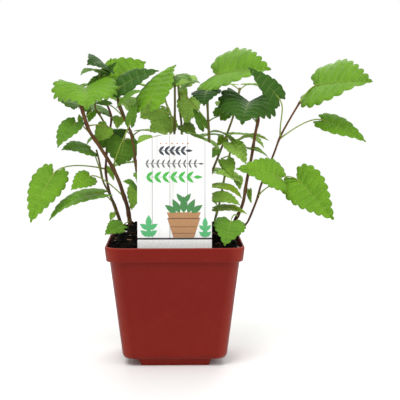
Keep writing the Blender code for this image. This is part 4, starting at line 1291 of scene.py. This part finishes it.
def sprig(x, z, step, count, length, width, lean):
    """Pairs of leaves along a level twig, and the twig."""
    shapes = [box(x, z - 0.0002, x + step * count, z + 0.0002)]
    for i in range(count):
        place = x + step * (i + 0.15)
        shapes += [leaf_outline(place, z, length, width, lean), leaf_outline(place, z, length, width, -lean)]
    return shapes + [leaf_outline(x + step * count, z, length, width, 0)]


film("print_slate", (56, 62, 72), sprig(-0.0125, 0.1690, 0.0042, 5, 0.0056, 0.0021, 42))
film("print_amber", (196, 128, 56), [disc(-0.0105 + 0.0042 * i, 0.1745, 0.0006) for i in range(6)])
film("print_grey", (104, 106, 106), sprig(-0.0225, 0.1590, 0.0041, 10, 0.0042, 0.0014, 58))
film("print_green", (74, 178, 74), sprig(-0.0225, 0.1487, 0.0062, 6, 0.0070, 0.0026, 40))

# %% [markdown]
# The lower half shows a clay pot of herbs between two sprigs, above a dark line and a white strip.

# %% Lower half of the print
STRIP_LOW = 0.0931
STRIP_HIGH = 0.1003
half_tag = TAG_WIDTH / 2
film("print_dark", (40, 40, 40), [box(-half_tag, STRIP_HIGH, half_tag, 0.1017),
                                  box(-half_tag, 0.0925, half_tag, STRIP_LOW)])
film("print_white", (244, 244, 242), [box(-half_tag, STRIP_LOW, half_tag, STRIP_HIGH)])
pot_print = [(-0.0010, 0.1018), (0.0150, 0.1018), (0.0185, 0.1170), (0.0198, 0.1170), (0.0202, 0.1215),
             (-0.0062, 0.1215), (-0.0058, 0.1170), (-0.0045, 0.1170)]
film("print_clay", (178, 132, 88), [pot_print])
clay_bands = [box(-0.0056, 0.1164, 0.0196, 0.1171), box(-0.0030, 0.1100, 0.0170, 0.1104),
              box(-0.0020, 0.1050, 0.0160, 0.1054)]
film("print_clay_bands", (104, 72, 44), clay_bands, 2)
herb = [leaf_outline(x, z, length, length * 0.44, angle) for x, z, length, angle in (
    (0.0070, 0.1212, 0.0130, 90), (0.0040, 0.1212, 0.0120, 118), (0.0100, 0.1212, 0.0120, 62),
    (0.0010, 0.1212, 0.0105, 145), (0.0130, 0.1212, 0.0105, 35), (0.0070, 0.1290, 0.0090, 128),
    (0.0070, 0.1290, 0.0090, 52))]
film("print_herb", (66, 132, 70), herb)
corner_leaves = [leaf_outline(x, z, length, length * 0.5, angle) for x, z, length, angle in (
    (-0.0200, 0.1020, 0.0085, 90), (-0.0200, 0.1030, 0.0080, 145), (-0.0200, 0.1030, 0.0080, 35),
    (-0.0200, 0.1085, 0.0080, 150), (-0.0200, 0.1085, 0.0080, 30), (-0.0200, 0.1100, 0.0095, 90),
    (0.0235, 0.1020, 0.0080, 90), (0.0235, 0.1025, 0.0062, 140), (0.0235, 0.1025, 0.0062, 40),
    (0.0235, 0.1075, 0.0062, 140), (0.0235, 0.1075, 0.0062, 40), (0.0235, 0.1095, 0.0080, 90))]
film("print_corner_leaves", (82, 180, 112), corner_leaves)
